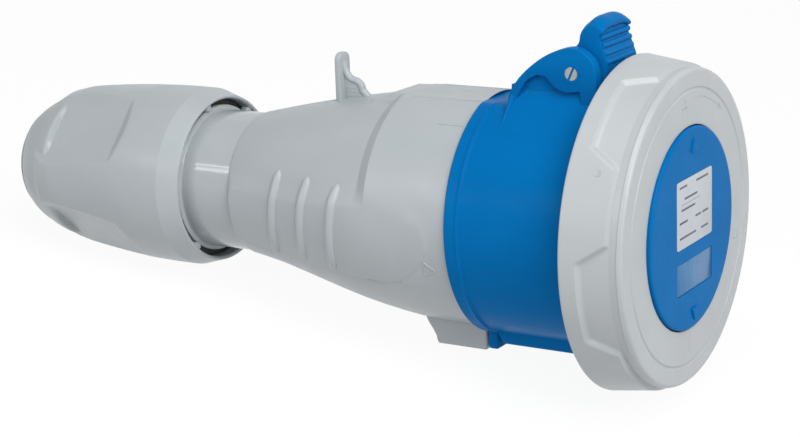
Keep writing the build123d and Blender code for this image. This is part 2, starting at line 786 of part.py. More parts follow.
def make_clamp_cage():
    x1 = thread_end_x - seat_gap
    x_base = x1 - cage_base
    x0 = x1 - cage_len
    tip_r = cage_cone_r(x0)
    body = turned([
        (x1, thread_r - 3.5), (x1, thread_r - 1.0), (x_base, thread_r - 1.0), (x0, tip_r),
        (x0, tip_r - cage_wall), (x_base, seal_r() + seat_gap), (x1, seal_r() + seat_gap),
    ])
    for i in range(cage_fingers // 2):
        body -= turn_x(block(x0 - 1, x_base, -30, 30, -0.6, 0.6), 360 / cage_fingers * i)
    return body


def seal_r():
    return cage_cone_r(thread_end_x - cage_len) - cage_wall - 0.3


def make_cable_seal():
    x1 = thread_end_x - 0.6
    return turned([
        (x1, cable_r), (x1, seal_r() - 0.6), (x1 - 0.6, seal_r()), (x1 - seal_len + 3, seal_r()),
        (x1 - seal_len, seal_r() - 2.4), (x1 - seal_len, cable_r),
    ])


def slip_ring_x():
    return thread_end_x - cage_len - seat_gap - slip_ring_t


def make_slip_ring():
    # washer that the nut pushes against the cage without turning it
    x0 = slip_ring_x()
    r = cage_cone_r(thread_end_x - cage_len) + cage_room - slip_gap
    return tube(x0, x0 + slip_ring_t, r, nut_hole_r + 0.3)


def make_neck_seal():
    x1 = neck_end_x - collar_w - 0.1
    return tube(x1 - oring_w + 0.2, x1, nut_mouth_in_r - 0.35, thread_r - 1.55)


def make_all():
    pieces = {
        "handle": make_handle(),
        "shroud": make_shroud(),
        "body_seal": make_body_seal(),
        "lock_screw": make_lock_screw(),
        "contact_carrier": make_contact_carrier(),
        "terminal_plate": make_terminal_plate(),
        "plate_screws": make_plate_screws(),
        "terminal_screws": make_terminal_screws(),
        "lid": make_lid(),
        "lid_gasket": make_gasket(),
        "rating_plate": make_rating_plate(),
        "marking_window": make_marking_window(),
        "locking_ring": make_locking_ring(),
        "hinge_pin": make_hinge_pin(),
        "pin_clip": make_pin_clip(),
        "lid_spring": make_lid_spring(),
        "gland_nut": make_gland_nut(),
        "slip_ring": make_slip_ring(),
        "clamp_cage": make_clamp_cage(),
        "cable_seal": make_cable_seal(),
        "neck_seal": make_neck_seal(),
    }
    for name in contact_angles:
        pieces[name + "_contact"] = make_contact(name)
    return pieces


def rest_angle():
    # slope of the axis when the ring's rim and the rear edge of the foot lie on a table
    return degrees(atan2(ring_r - foot_z, ring_rear_x + 0.5 + foot_len))


def lay_down(pieces):
    # turn everything onto the table and put the origin under the middle of the whole
    tilt = Rot(0, -rest_angle(), 0)
    turned_pieces = {name: tilt * shape for name, shape in pieces.items()}
    box = Compound(children=[copy_of(s) for s in turned_pieces.values()]).bounding_box()
    shift = Pos(-(box.min.X + box.max.X) / 2, -(box.min.Y + box.max.Y) / 2, -box.min.Z)
    return {name: shift * shape for name, shape in turned_pieces.items()}, shift * tilt


def copy_of(shape):
    return Pos(0, 0, 0) * shape


def write_parts():
    placed, _ = lay_down(make_all())
    for name, shape in placed.items():
        export_step(shape, "parts/" + name + ".step")


write_parts()
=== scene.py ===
import bpy, bmesh, json
import numpy as np
from math import atan2, cos, pi, radians, sin, sqrt, tan
from mathutils import Matrix, Vector


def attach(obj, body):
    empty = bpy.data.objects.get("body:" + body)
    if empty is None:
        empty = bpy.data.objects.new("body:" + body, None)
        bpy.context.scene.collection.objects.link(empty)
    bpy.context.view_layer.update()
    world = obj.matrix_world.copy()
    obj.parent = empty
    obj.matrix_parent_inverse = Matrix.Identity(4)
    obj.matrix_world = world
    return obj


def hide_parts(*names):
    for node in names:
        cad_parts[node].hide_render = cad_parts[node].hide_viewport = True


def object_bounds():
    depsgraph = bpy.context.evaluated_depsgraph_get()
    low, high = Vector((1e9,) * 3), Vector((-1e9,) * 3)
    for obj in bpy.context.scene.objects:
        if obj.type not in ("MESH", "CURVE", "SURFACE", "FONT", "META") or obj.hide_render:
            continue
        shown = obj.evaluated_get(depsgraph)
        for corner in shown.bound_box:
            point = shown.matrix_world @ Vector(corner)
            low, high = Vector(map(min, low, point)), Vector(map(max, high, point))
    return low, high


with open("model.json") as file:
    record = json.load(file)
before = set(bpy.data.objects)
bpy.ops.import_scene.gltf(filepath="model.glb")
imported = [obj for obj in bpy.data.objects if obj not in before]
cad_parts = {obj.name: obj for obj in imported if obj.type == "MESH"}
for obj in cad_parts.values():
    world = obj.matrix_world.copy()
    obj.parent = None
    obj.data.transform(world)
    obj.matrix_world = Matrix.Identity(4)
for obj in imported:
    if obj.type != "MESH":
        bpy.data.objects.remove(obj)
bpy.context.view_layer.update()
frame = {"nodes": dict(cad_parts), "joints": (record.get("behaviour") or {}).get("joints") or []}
nodes = frame["nodes"]
joints = {j["name"]: j for j in frame["joints"]}
print("frame loaded,", len(nodes), "nodes")

# Everything is drawn in mm along the connector's own axis: x = 0 where handle and shroud meet,
# +x to the lid, +z to the hinge. seat() lays it down where the frame has it.
mm = 0.001
ringFrontX = 59.6
alongAxis = -Vector(joints["ring_turn"]["axis"])
acrossAxis = Vector((0, 1, 0))
upFromAxis = alongAxis.cross(acrossAxis)
axisStart = Vector(joints["ring_turn"]["pos_m"]) - alongAxis * ringFrontX * mm
turned = Matrix((alongAxis, acrossAxis, upFromAxis)).transposed().to_4x4()
lay = Matrix.Translation(axisStart) @ turned @ Matrix.Scale(mm, 4)
tilt = atan2(alongAxis.z, alongAxis.x)


def placed(name, data):
    obj = bpy.data.objects.new(name, data)
    bpy.context.scene.collection.objects.link(obj)
    return obj


def editMesh(me, work):
    # work gets the mesh as a bmesh
    bm = bmesh.new()
    bm.from_mesh(me)
    work(bm)
    bm.to_mesh(me)
    bm.free()


def finish(obj, body, mat, replaced, smooth):
    # smooth shading with the creases kept sharp, one material, and the piece on its body
    def shade(bm):
        limit = radians(smooth)
        for f in bm.faces:
            f.smooth = True
        for e in bm.edges:
            e.smooth = len(e.link_faces) == 2 and e.calc_face_angle(0) < limit

    me = obj.data
    me.materials.clear()
    me.materials.append(mat)
    editMesh(me, shade)
    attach(obj, body)
    if replaced:
        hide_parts(*replaced)
    print(obj.name, sum(len(p.vertices) - 2 for p in me.polygons), "triangles")


def seat(obj, body, mat, replaced=()):
    obj.data.transform(lay)
    finish(obj, body, mat, replaced, 38)


def newObject(name, verts, faces):
    def clean(bm):
        bmesh.ops.remove_doubles(bm, verts=bm.verts, dist=1e-5)
        bmesh.ops.recalc_face_normals(bm, faces=bm.faces)

    me = bpy.data.meshes.new(name)
    me.from_pydata([tuple(v) for v in verts], [], [tuple(f) for f in faces])
    editMesh(me, clean)
    return placed(name, me)


def joinAll(name, parts):
    # one object out of several, in drawing coordinates
    bm = bmesh.new()
    for part in parts:
        bm.from_mesh(part.data)
        old = part.data
        bpy.data.objects.remove(part)
        bpy.data.meshes.remove(old)
    me = bpy.data.meshes.new(name)
    bm.to_mesh(me)
    bm.free()
    return placed(name, me)


def bake(obj):
    # modifiers into the mesh
    dg = bpy.context.evaluated_depsgraph_get()
    done = bpy.data.meshes.new_from_object(obj.evaluated_get(dg))
    obj.modifiers.clear()
    old = obj.data
    obj.data = done
    bpy.data.meshes.remove(old)
    return obj


def softEdges(obj, width, segments=3, angle=30):
    mod = obj.modifiers.new("softEdges", "BEVEL")
    mod.width = width
    mod.segments = segments
    mod.limit_method = "ANGLE"
    mod.angle_limit = radians(angle)
    mod.use_clamp_overlap = True
    return bake(obj)


def cutOut(obj, *cutters):
    for c in cutters:
        cut = obj.modifiers.new("cut", "BOOLEAN")
        cut.operation = "DIFFERENCE"
        cut.object = c
        cut.solver = "EXACT"
    bake(obj)
    for c in cutters:
        bpy.data.objects.remove(c)
    return obj


def ease(a, b, v):
    t = np.clip((v - a) / (b - a), 0, 1)
    return t * t * (3 - 2 * t)


def softMin(a, b, k):
    h = np.clip(0.5 + 0.5 * (b - a) / k, 0, 1)
    return b * (1 - h) + a * h - k * h * (1 - h)


def softMax(a, b, k):
    return -softMin(-a, -b, k)


def smoothLine(points, steps=8, closed=False):
    # Catmull-Rom curve through a few points
    p = [np.array(q, float) for q in points]
    n = len(p)
    out = []
    for i in range(n if closed else n - 1):
        if closed:
            a, b, c, d = p[i - 1], p[i], p[(i + 1) % n], p[(i + 2) % n]
        else:
            a, b, c, d = p[max(i - 1, 0)], p[i], p[i + 1], p[min(i + 2, n - 1)]
        for k in range(steps):
            t = k / steps
            twice = 2 * b + (c - a) * t + (2 * a - 5 * b + 4 * c - d) * t * t + (3 * b - a - 3 * c + d) * t ** 3
            out.append(0.5 * twice)
    if not closed:
        out.append(p[-1])
    return [tuple(q) for q in out]


def roundedPath(corners, step=2.0, closed=True):
    # corners are (x, r) or (x, r, fillet); long stretches are divided for the relief on them
    out = []
    n = len(corners)
    turns = 5
    cs = [(c[0], c[1], c[2] if len(c) > 2 else 0.0) for c in corners]
    for i, (x, r, f) in enumerate(cs):
        p = Vector((x, r))
        if f <= 0 or (not closed and i in (0, n - 1)):
            out.append(p)
            continue
        a, b = Vector(cs[i - 1][:2]), Vector(cs[(i + 1) % n][:2])
        u, v = (a - p).normalized(), (b - p).normalized()
        half = u.angle(v) / 2
        reach = min(f / tan(half), (a - p).length * 0.49, (b - p).length * 0.49)
        f = reach * tan(half)
        mid = p + (u + v).normalized() * (f / sin(half))
        s, e = p + u * reach - mid, p + v * reach - mid
        whole = s.angle_signed(e)
        for k in range(turns + 1):
            t = -whole * k / turns
            out.append(mid + Vector((s.x * cos(t) - s.y * sin(t), s.x * sin(t) + s.y * cos(t))))
    full = []
    m = len(out)
    for i in range(m if closed else m - 1):
        a, b = out[i], out[(i + 1) % m]
        cuts = max(1, int((b - a).length / step + 0.5))
        full += [a.lerp(b, k / cuts) for k in range(cuts)]
    if not closed:
        full.append(out[-1])
    return np.array([(q.x, q.y) for q in full])


def shellPath(corners, inside, step, insideStep):
    # closed section: fine steps outside for the relief, coarse ones inside
    outer = roundedPath(corners, step, closed=False)
    inner = roundedPath([corners[-1]] + inside + [corners[0]], insideStep, closed=False)
    return np.concatenate([outer, inner[1:-1]])


def ringFaces(rows, cols, closed=False):
    # quads between rings of points, one ring to a row
    return [(i * cols + j, i * cols + (j + 1) % cols, (i + 1) % rows * cols + (j + 1) % cols, (i + 1) % rows * cols + j)
            for i in range(rows if closed else rows - 1) for j in range(cols)]


def turnedGrid(name, path, around, relief=None, closed=True):
    # path turned about x; angle 0 is the near side, 90 the top. relief(x, r, a) gives x, y, z
    a = np.linspace(0, 2 * pi, around, endpoint=False)
    x, aa = np.meshgrid(path[:, 0], a, indexing="ij")
    r, _ = np.meshgrid(path[:, 1], a, indexing="ij")
    pos = relief(x, r, aa) if relief else (x, -r * np.cos(aa), r * np.sin(aa))
    return newObject(name, np.stack(pos, -1).reshape(-1, 3), ringFaces(*x.shape, closed))


def turnedAbout(name, px, pz, profile, sides=48):
    # closed profile of (y, r) turned about a line along y through (px, pz)
    angles = [2 * pi * j / sides for j in range(sides)]
    verts = [(px + r * cos(a), y, pz + r * sin(a)) for y, r in profile for a in angles]
    return newObject(name, verts, ringFaces(len(profile), sides, True))


def outlineDistance(px, pz, outline):
    # distance to a closed outline, negative inside
    q = np.array(outline, float)
    best = np.full(px.shape, 1e9)
    inside = np.zeros(px.shape, bool)
    for i in range(len(q)):
        (ax, az), (bx, bz) = q[i - 1], q[i]
        ex, ez = bx - ax, bz - az
        t = np.clip(((px - ax) * ex + (pz - az) * ez) / (ex * ex + ez * ez + 1e-12), 0, 1)
        best = np.minimum(best, np.hypot(px - ax - t * ex, pz - az - t * ez))
        if abs(ez) > 1e-12:
            inside ^= ((az > pz) != (bz > pz)) & (px < ax + (pz - az) / ez * ex)
    return np.where(inside, -best, best)


def prism(name, start, end):
    # two like outlines joined into a block
    n = len(start)
    faces = [tuple(range(n)), tuple(range(2 * n - 1, n - 1, -1))]
    faces += [(i, n + i, n + (i + 1) % n, (i + 1) % n) for i in range(n)]
    return newObject(name, start + end, faces)


def plate(name, outline, y0, y1):
    # outline in (x, z), thickened from y0 to y1
    return prism(name, [(x, y0, z) for x, z in outline], [(x, y1, z) for x, z in outline])


def facePlate(name, outline, x0, x1):
    # outline in (y, z), thickened along x
    return prism(name, [(x0, y, z) for y, z in outline], [(x1, y, z) for y, z in outline])


def blockAt(name, lo, hi):
    x0, y0, z0 = lo
    x1, y1, z1 = hi
    verts = [(x, y, z) for x in (x0, x1) for y in (y0, y1) for z in (z0, z1)]
    faces = [(0, 1, 3, 2), (4, 6, 7, 5), (0, 4, 5, 1), (2, 3, 7, 6), (0, 2, 6, 4), (1, 5, 7, 3)]
    return newObject(name, verts, faces)


def tubeAlong(name, points, r, sides=12):
    # round bar along a line of points; r is one radius or a list
    p = [Vector(q) for q in points]
    radii = r if isinstance(r, list) else [r] * len(p)
    angles = [2 * pi * k / sides for k in range(sides)]
    verts = []
    for i, q in enumerate(p):
        d = (p[min(i + 1, len(p) - 1)] - p[max(i - 1, 0)]).normalized()
        u = d.cross(Vector((0, 1, 0)))
        if u.length < 1e-3:
            u = d.cross(Vector((1, 0, 0)))
        u.normalize()
        v = d.cross(u)
        verts += [q + u * radii[i] * cos(a) + v * radii[i] * sin(a) for a in angles]
    caps = [tuple(range(sides)), tuple(range(len(verts) - 1, len(verts) - sides - 1, -1))]
    return newObject(name, verts, ringFaces(len(p), sides) + caps)


def arcPoints(cx, cz, r, a0, a1, n=10):
    angles = [radians(a0 + (a1 - a0) * i / n) for i in range(n + 1)]
    return [(cx + r * cos(a), cz + r * sin(a)) for a in angles]


def roundedRect(w, h, r, cy=0.0, cz=0.0, n=5):
    pts = []
    for sy, sz, a0 in ((1, 1, 0), (-1, 1, 90), (-1, -1, 180), (1, -1, 270)):
        pts += arcPoints(cy + sy * (w / 2 - r), cz + sz * (h / 2 - r), r, a0, a0 + 90, n)
    return pts


# Materials

def material(name, color, rough, **more):
    m = bpy.data.materials.new(name)
    m.use_nodes = True
    s = m.node_tree.nodes["Principled BSDF"]
    s.inputs["Roughness"].default_value = rough
    s.inputs["Base Color"].default_value = (*color, 1)
    for key, value in more.items():
        s.inputs[key.replace("_", " ")].default_value = value
    return m, m.node_tree, s


def nodeNoise(nt, scale, detail=3.0, rough=0.55, stretch=None):
    coord = nt.nodes.new("ShaderNodeTexCoord")
    n = nt.nodes.new("ShaderNodeTexNoise")
    n.inputs["Scale"].default_value = scale
    n.inputs["Detail"].default_value = detail
    n.inputs["Roughness"].default_value = rough
    spot = coord.outputs["Object"]
    if stretch:
        mapping = nt.nodes.new("ShaderNodeMapping")
        mapping.inputs["Rotation"].default_value = (0, tilt, 0)
        mapping.inputs["Scale"].default_value = stretch
        nt.links.new(spot, mapping.inputs["Vector"])
        spot = mapping.outputs["Vector"]
    nt.links.new(spot, n.inputs["Vector"])
    return n.outputs["Fac"]


def spread(nt, fac, low, high, fromLow=0.3, fromHigh=0.7):
    r = nt.nodes.new("ShaderNodeMapRange")
    r.inputs["From Min"].default_value = fromLow
    r.inputs["From Max"].default_value = fromHigh
    r.inputs["To Min"].default_value = low
    r.inputs["To Max"].default_value = high
    nt.links.new(fac, r.inputs["Value"])
    return r.outputs["Result"]


def tint(nt, s, fac, a, b, fromLow=0.3, fromHigh=0.7):
    # base colour from a to b as the noise rises
    m = nt.nodes.new("ShaderNodeMix")
    m.data_type = "RGBA"
    m.inputs[6].default_value = (*a, 1)
    m.inputs[7].default_value = (*b, 1)
    nt.links.new(spread(nt, fac, 0, 1, fromLow, fromHigh), m.inputs[0])
    nt.links.new(m.outputs[2], s.inputs["Base Color"])


def roughen(nt, s, fac, low, high):
    nt.links.new(spread(nt, fac, low, high), s.inputs["Roughness"])


def addBump(nt, s, *layers):
    # layers of (height, strength, distance)
    last = None
    for height, strength, distance in layers:
        b = nt.nodes.new("ShaderNodeBump")
        b.inputs["Strength"].default_value = strength
        b.inputs["Distance"].default_value = distance
        nt.links.new(height, b.inputs["Height"])
        if last:
            nt.links.new(last, b.inputs["Normal"])
        last = b.outputs["Normal"]
    nt.links.new(last, s.inputs["Normal"])


def mathNode(nt, operation, *values):
    # values are numbers or sockets
    m = nt.nodes.new("ShaderNodeMath")
    m.operation = operation
    for socket, value in zip(m.inputs, values):
        if isinstance(value, bpy.types.NodeSocket):
            nt.links.new(value, socket)
        else:
            socket.default_value = value
    return m.outputs[0]


def moulded(name, color, lighter, rough, grain=0.12, gloss=0.5):
    # injection-moulded plastic: faint flow mottling, fine eroded skin, slightly polished high spots
    m, nt, s = material(name, color, rough, IOR=1.5, Specular_IOR_Level=gloss)
    tint(nt, s, nodeNoise(nt, 38, 3, 0.5, (1.0, 1.6, 1.6)), color, lighter)
    roughen(nt, s, nodeNoise(nt, 160, 4, 0.6), rough - 0.06, rough + 0.07)
    addBump(nt, s, (nodeNoise(nt, 5200, 2, 0.6), grain, 0.00004), (nodeNoise(nt, 55, 2, 0.5), 0.10, 0.0003))
    return m


def handlePlastic():
    # satin grip, polished neck behind it
    m, nt, s = material("handlePlastic", looks["handleGrey"], 0.38, IOR=1.5, Specular_IOR_Level=0.38)
    tint(nt, s, nodeNoise(nt, 38, 3, 0.5, (1.0, 1.6, 1.6)), looks["handleGrey"], looks["handleGreyLight"])
    coord = nt.nodes.new("ShaderNodeTexCoord")
    along = nt.nodes.new("ShaderNodeVectorMath")
    along.operation = "DOT_PRODUCT"
    along.inputs[1].default_value = tuple(alongAxis)
    nt.links.new(coord.outputs["Object"], along.inputs[0])
    gripEnd = axisStart.dot(alongAxis) - 0.0840
    polish = spread(nt, along.outputs["Value"], 1.0, 0.0, gripEnd - 0.0008, gripEnd)
    mix = nt.nodes.new("ShaderNodeMix")
    nt.links.new(polish, mix.inputs[0])
    nt.links.new(spread(nt, nodeNoise(nt, 160, 4, 0.6), 0.33, 0.44), mix.inputs[2])
    mix.inputs[3].default_value = looks["neckRough"]
    nt.links.new(mix.outputs[0], s.inputs["Roughness"])
    addBump(nt, s, (nodeNoise(nt, 5200, 2, 0.6), 0.10, 0.00004), (nodeNoise(nt, 55, 2, 0.5), 0.08, 0.0003))
    return m


def rubberMaterial(name, color):
    m, nt, s = material(name, color, 0.62)
    tint(nt, s, nodeNoise(nt, 420, 5, 0.6), color, tuple(c * 1.8 + 0.01 for c in color), 0.45, 0.8)
    addBump(nt, s, (nodeNoise(nt, 2600, 3), 0.25, 0.00006))
    return m


def metalMaterial(name, color, darker, rough, across):
    # turned or drawn metal with fine lines across its length
    m, nt, s = material(name, color, rough, Metallic=1.0)
    lines = nodeNoise(nt, 900, 3, 0.6, across)
    tint(nt, s, lines, color, darker)
    roughen(nt, s, nodeNoise(nt, 240, 4), rough - 0.08, rough + 0.1)
    addBump(nt, s, (lines, 0.18, 0.00003))
    return m


def labelMaterial():
    m, nt, s = material("plateWhite", looks["label"], 0.34)
    tint(nt, s, nodeNoise(nt, 90, 3), looks["label"], tuple(c * 0.965 for c in looks["label"]))
    roughen(nt, s, nodeNoise(nt, 300, 3), 0.28, 0.42)
    addBump(nt, s, (nodeNoise(nt, 1500, 2), 0.06, 0.00003))
    return m


def windowMaterial():
    # frosted film over the blue, with pale streaks
    m, nt, s = material("windowFilm", looks["window"], 0.22, Specular_IOR_Level=0.15)
    streak = nodeNoise(nt, 95, 3, 0.6, (1, 2.6, 0.7))
    tint(nt, s, streak, looks["window"], looks["windowLight"], 0.35, 0.68)
    roughen(nt, s, streak, 0.16, 0.34)
    addBump(nt, s, (nodeNoise(nt, 60, 2), 0.12, 0.0003))
    return m


looks = {
    "handleGrey": (0.392, 0.425, 0.448), "handleGreyLight": (0.420, 0.452, 0.474), "neckRough": 0.12,
    "ringGrey": (0.425, 0.452, 0.468), "ringGreyLight": (0.452, 0.480, 0.494),
    "blue": (0.0008, 0.133, 0.388), "blueLight": (0.0014, 0.146, 0.418),
    "window": (0.03, 0.150, 0.345), "windowLight": (0.07, 0.215, 0.43),
    "label": (0.48, 0.515, 0.56), "print": (0.075, 0.085, 0.095),
}
grey = handlePlastic()
nutGrey = moulded("nutPlastic", looks["handleGrey"], looks["handleGreyLight"], 0.34, 0.12, 0.38)
ringGrey = moulded("ringPlastic", looks["ringGrey"], looks["ringGreyLight"], 0.36, 0.12, 0.38)
blue = moulded("shroudPlastic", looks["blue"], looks["blueLight"], 0.32, 0.08, 0.02)
lidBlue = moulded("lidPlastic", looks["blue"], looks["blueLight"], 0.30, 0.10, 0.02)
darkPlastic = moulded("insertPlastic", (0.03, 0.033, 0.036), (0.045, 0.048, 0.052), 0.45)
whitePlastic = moulded("slipRingPlastic", (0.72, 0.72, 0.70), (0.78, 0.78, 0.76), 0.35)
rubber = rubberMaterial("sealRubber", (0.018, 0.018, 0.019))
steel = metalMaterial("platedSteel", (0.46, 0.45, 0.43), (0.34, 0.33, 0.32), 0.30, (1, 14, 14))
inkMaterial = moulded("printInk", looks["print"], tuple(c * 1.5 for c in looks["print"]), 0.5, 0.03)
brass = metalMaterial("turnedBrass", (0.70, 0.55, 0.28), (0.55, 0.42, 0.20), 0.28, (12, 1, 1))
print("materials ready")


# Handle

handleLook = {
    "radius": 35.3, "flatTop": 34.0, "barrel": 27.5, "stepLen": 3.9, "coneRoot": 33.0, "coneEnd": -84.0, "bow": 1.45,
    "gripStep": 0.7, "neck": 22.0, "neckEnd": -102.5, "collar": 23.4, "padHeight": 1.2, "scoop": 1.3,
    "barHeight": 1.2, "barHalf": 1.8, "barLean": 0.13, "barsX": (-64.5, -52.5, -40.4),
    "barTop": (11.8, 11.4, 10.8), "barLow": (-14.9, -15.3, -15.8),
    "railHalf": 8.0, "railLen": 32.0, "railRunOut": 8.0, "railDrop": 2.8,
    "threadR": 24.3, "threadEnd": -124.7, "threadPitch": 3.0, "threadDepth": 0.9, "bore": 17.8,
    "around": 384, "step": 0.76,
}
padOutline = smoothLine([(-85.2, 7.5), (-60, 8.3), (-31, 10.9), (-17, 10.2), (-7.6, 6.2), (-5.0, 1.8), (-6.2, -3.7),
                         (-10.4, -10.9), (-16.3, -16.0), (-23.9, -17.8), (-33.3, -17.0), (-45, -16.2), (-56, -15.7),
                         (-66, -15.1), (-75, -13.8), (-85.2, -12.2)], 6, True)
underX = (-84.0, -79.8, -72.0, -64.1, -56.4, -48.7, -41.2, -33.9, -26.7, -19.6, -12.0, 0.0)
underR = (22.7, 23.4, 25.0, 26.8, 28.6, 30.4, 32.0, 33.3, 34.3, 35.0, 35.3, 35.3)


def handleRadius(x):
    h = handleLook
    root = -h["barrel"] - h["stepLen"]
    t = np.clip((root - x) / (root - h["coneEnd"]), 0, 1)
    return h["coneRoot"] + (h["neck"] + h["gripStep"] - h["coneRoot"]) * t + h["bow"] * 2 * t * (1 - t)


def handleRelief(x, r, a):
    h = handleLook
    z = r * np.sin(a)
    outer = (r > handleRadius(x) - 1.2) & (x < -0.05) & (x > h["coneEnd"] - 0.6)
    # raised side pads, crisp below and run out above; under them barrel and cone run into one curve
    d = outlineDistance(x, z, padOutline)
    width = 0.35 + 6.0 * ease(-5, 5, z)
    pad = ease(0.15, -width, d)
    low = np.maximum(pad, ease(2, -2, z))
    under = np.interp(x, underX, underR)
    # the underside falls away below the pad's edge
    scoop = h["scoop"] * np.exp(-np.clip(d, 0, 60) / 5.5) * ease(-8, -11, z) * (1 - pad)
    scoop = scoop * ease(-16, -30, x) * ease(-83, -70, x)
    r = np.where(outer & (x > h["coneEnd"] + 0.3) & (x < -1), r + (under - r) * low - scoop, r)
    # the pads sink into the round towards the seam
    lift = h["padHeight"] * (1 - 0.72 * ease(-34, -14, x)) * pad
    lift = lift * ease(h["coneEnd"] - 0.3, h["coneEnd"] + 0.5, x)
    r2 = np.where(outer, r + lift, r)
    y, z = -r2 * np.cos(a), r2 * np.sin(a)
    # flat along the top and the rail that runs on over the step
    run = np.clip((-h["railLen"] - x) / h["railRunOut"], 0, 1)
    railTop = h["flatTop"] - h["railDrop"] * run
    side = ease(h["railHalf"] + 0.45, h["railHalf"] - 0.1, np.abs(y))
    up = outer & (z > 0)
    z = np.where(up, softMin(z, h["flatTop"], 0.35), z)
    rail = up & (x > -h["railLen"] - h["railRunOut"])
    z = np.where(rail, z + (softMax(z, railTop, 0.3) - z) * side, z)
    return x, y, z


def handleShell():
    h = handleLook
    root = -h["barrel"] - h["stepLen"]
    r, neck, coneEnd, neckEnd, c = h["radius"], h["neck"], h["coneEnd"], h["neckEnd"], h["collar"]
    threadR, threadEnd, bore = h["threadR"], h["threadEnd"], h["bore"]
    cone = [(x, float(handleRadius(x))) for x in np.linspace(root, coneEnd + 0.2, 40)]
    corners = [(0.0, r - 0.35), (-0.35, r), (-h["barrel"], r, 0.35), (root, h["coneRoot"], 0.25)] + cone[1:-1]
    corners += [(coneEnd, neck + h["gripStep"], 0.3), (coneEnd - 0.5, neck, 0.3), (neckEnd, neck, 0.5),
                (neckEnd, c, 0.4), (neckEnd - 2.0, c, 0.3), (neckEnd - 2.0, 22.7), (neckEnd - 4.2, 22.7),
                (neckEnd - 4.2, threadR, 0.2), (threadEnd + 1, threadR), (threadEnd, threadR - 1), (threadEnd, bore)]
    inside = [(coneEnd - 3, bore), (coneEnd, 19.7), (-29.5, 30.4), (-19, 31.4), (-17, 33.0), (0.0, 33.0)]

    def relief(x, r, a):
        # the screw thread climbs one pitch a turn
        x, y, z = handleRelief(x, r, a)
        cut = (x < neckEnd - 5) & (r > 23.5)
        turn = (x / h["threadPitch"] + a / (2 * pi)) % 1.0
        groove = h["threadDepth"] * np.abs(turn - 0.5) * 2 * ease(neckEnd - 5, neckEnd - 6, x)
        k = np.where(cut, 1 - groove / np.maximum(r, 1), 1)
        return x, y * k, z * k

    return turnedGrid("handleShell", shellPath(corners, inside, h["step"], 7.0), h["around"], relief)


def fin():
    # upright flange with a beaded, curved web in front
    x0, thick, half, top, low, corner = -55.6, 1.9, 3.1, 43.7, 26.5, 2.4
    outline = [(-half, low), (-half, top - corner)] + arcPoints(-half + corner, top - corner, corner, 180, 90, 6)
    outline += arcPoints(half - corner, top - corner, corner, 90, 0, 6) + [(half, low)]
    flange = softEdges(facePlate("finFlange", outline, x0, x0 + thick), 0.45)
    curve = smoothLine([(-53.7, 41.1), (-52.8, 38.2), (-51.1, 36.1), (-48.8, 35.4), (-47.4, 34.1), (-46.9, 32.6),
                        (-44.6, 30.4)], 5)
    web = softEdges(plate("finWeb", [(-54.6, 26), (-54.6, 41.2)] + curve + [(-44.6, 26)], -0.8, 0.8), 0.3)
    edge = tubeAlong("finEdge", [(x - 0.6, 0, z - 0.5) for x, z in curve], 1.15)
    # fine pips in the web's hollow
    pips = []
    for i in range(4):
        for k in range(4):
            x, z = -52.4 + 1.25 * k, 30.6 + 1.2 * i
            if x < -50.4 or z < 34.0:
                x += 0.3 * (i % 2)
                pips.append(tubeAlong("pip", [(x, -1.0, z), (x, 1.0, z)], 0.28, 8))
    return [flange, web, edge, *pips]


def foot():
    # square foot that coves into the handle behind, with a round well for the lock screw's head
    outline = [(-21.9, -31.2), (-20.4, -34.4), (-18.9, -36.5), (-17.8, -38.4), (-17.3, -40.2), (-17.2, -40.9),
               (-0.25, -40.9), (-0.25, -31.2)]
    body = softEdges(plate("foot", outline, -12.0, 12.0), 0.7, 4, 40)
    return cutOut(body, tubeAlong("well", [(-10.5, 0, -45), (-10.5, 0, -38.3)], 3.6, 40))


def onBarrel(x, deg):
    r = handleLook["radius"]
    return (x, -r * cos(radians(deg)), r * sin(radians(deg)))


def barrelMarks():
    # short moulded line beside the rail and an outlined triangle low on the side, on both sides
    corners = [(-8.0, -14.5), (-8.1, -21.5), (-4.4, -18.6)]
    runs = [[(-9.8, 55), (-5.5, 55), (-1.4, 55)]] + [[corners[i], corners[(i + 1) % 3]] for i in range(3)]
    marks = []
    for mirror in (False, True):
        for run in runs:
            marks.append(tubeAlong("mark", [onBarrel(x, 180 - d if mirror else d) for x, d in run], 0.3, 8))
        y = 9.5 if mirror else -9.5
        edge = [(-27.2, y, 33.7), (-24.0, y, 33.9), (-0.6, y, 33.95)]
        marks.append(tubeAlong("railEdge", edge, [0.06, 0.2, 0.22], 8))
    return marks


def gripBars():
    # bars that follow the pad, round-ended, three to a side
    h = handleLook
    steps = 24
    bars = []
    for mirror in (1, -1):
        for bx, top, low in zip(h["barsX"], h["barTop"], h["barLow"]):
            points, radii = [], []
            for k in range(steps + 1):
                t = k / steps
                z0 = top + (low - top) * t
                x0 = bx + h["barLean"] * (z0 + 3)
                r0 = float(handleRadius(x0))
                spot = handleRelief(np.array([x0]), np.array([r0]), np.array([np.arcsin(z0 / r0)]))
                x, y, z = (float(v[0]) for v in spot)
                sink = 1 + (h["barHeight"] - h["barHalf"]) / r0
                points.append((x, mirror * y * sink, z * sink))
                radii.append(h["barHalf"] * sqrt(max(0.06, 1 - (2 * t - 1) ** 10)))
            bars.append(tubeAlong("gripBar", points, radii, 20))
    return bars


def makeHandle():
    obj = joinAll("handle_body", [handleShell(), *fin(), foot(), *barrelMarks(), *gripBars()])
    seat(obj, "socket", grey, ["handle"])


makeHandle()
print("handle ready")


# Gland nut

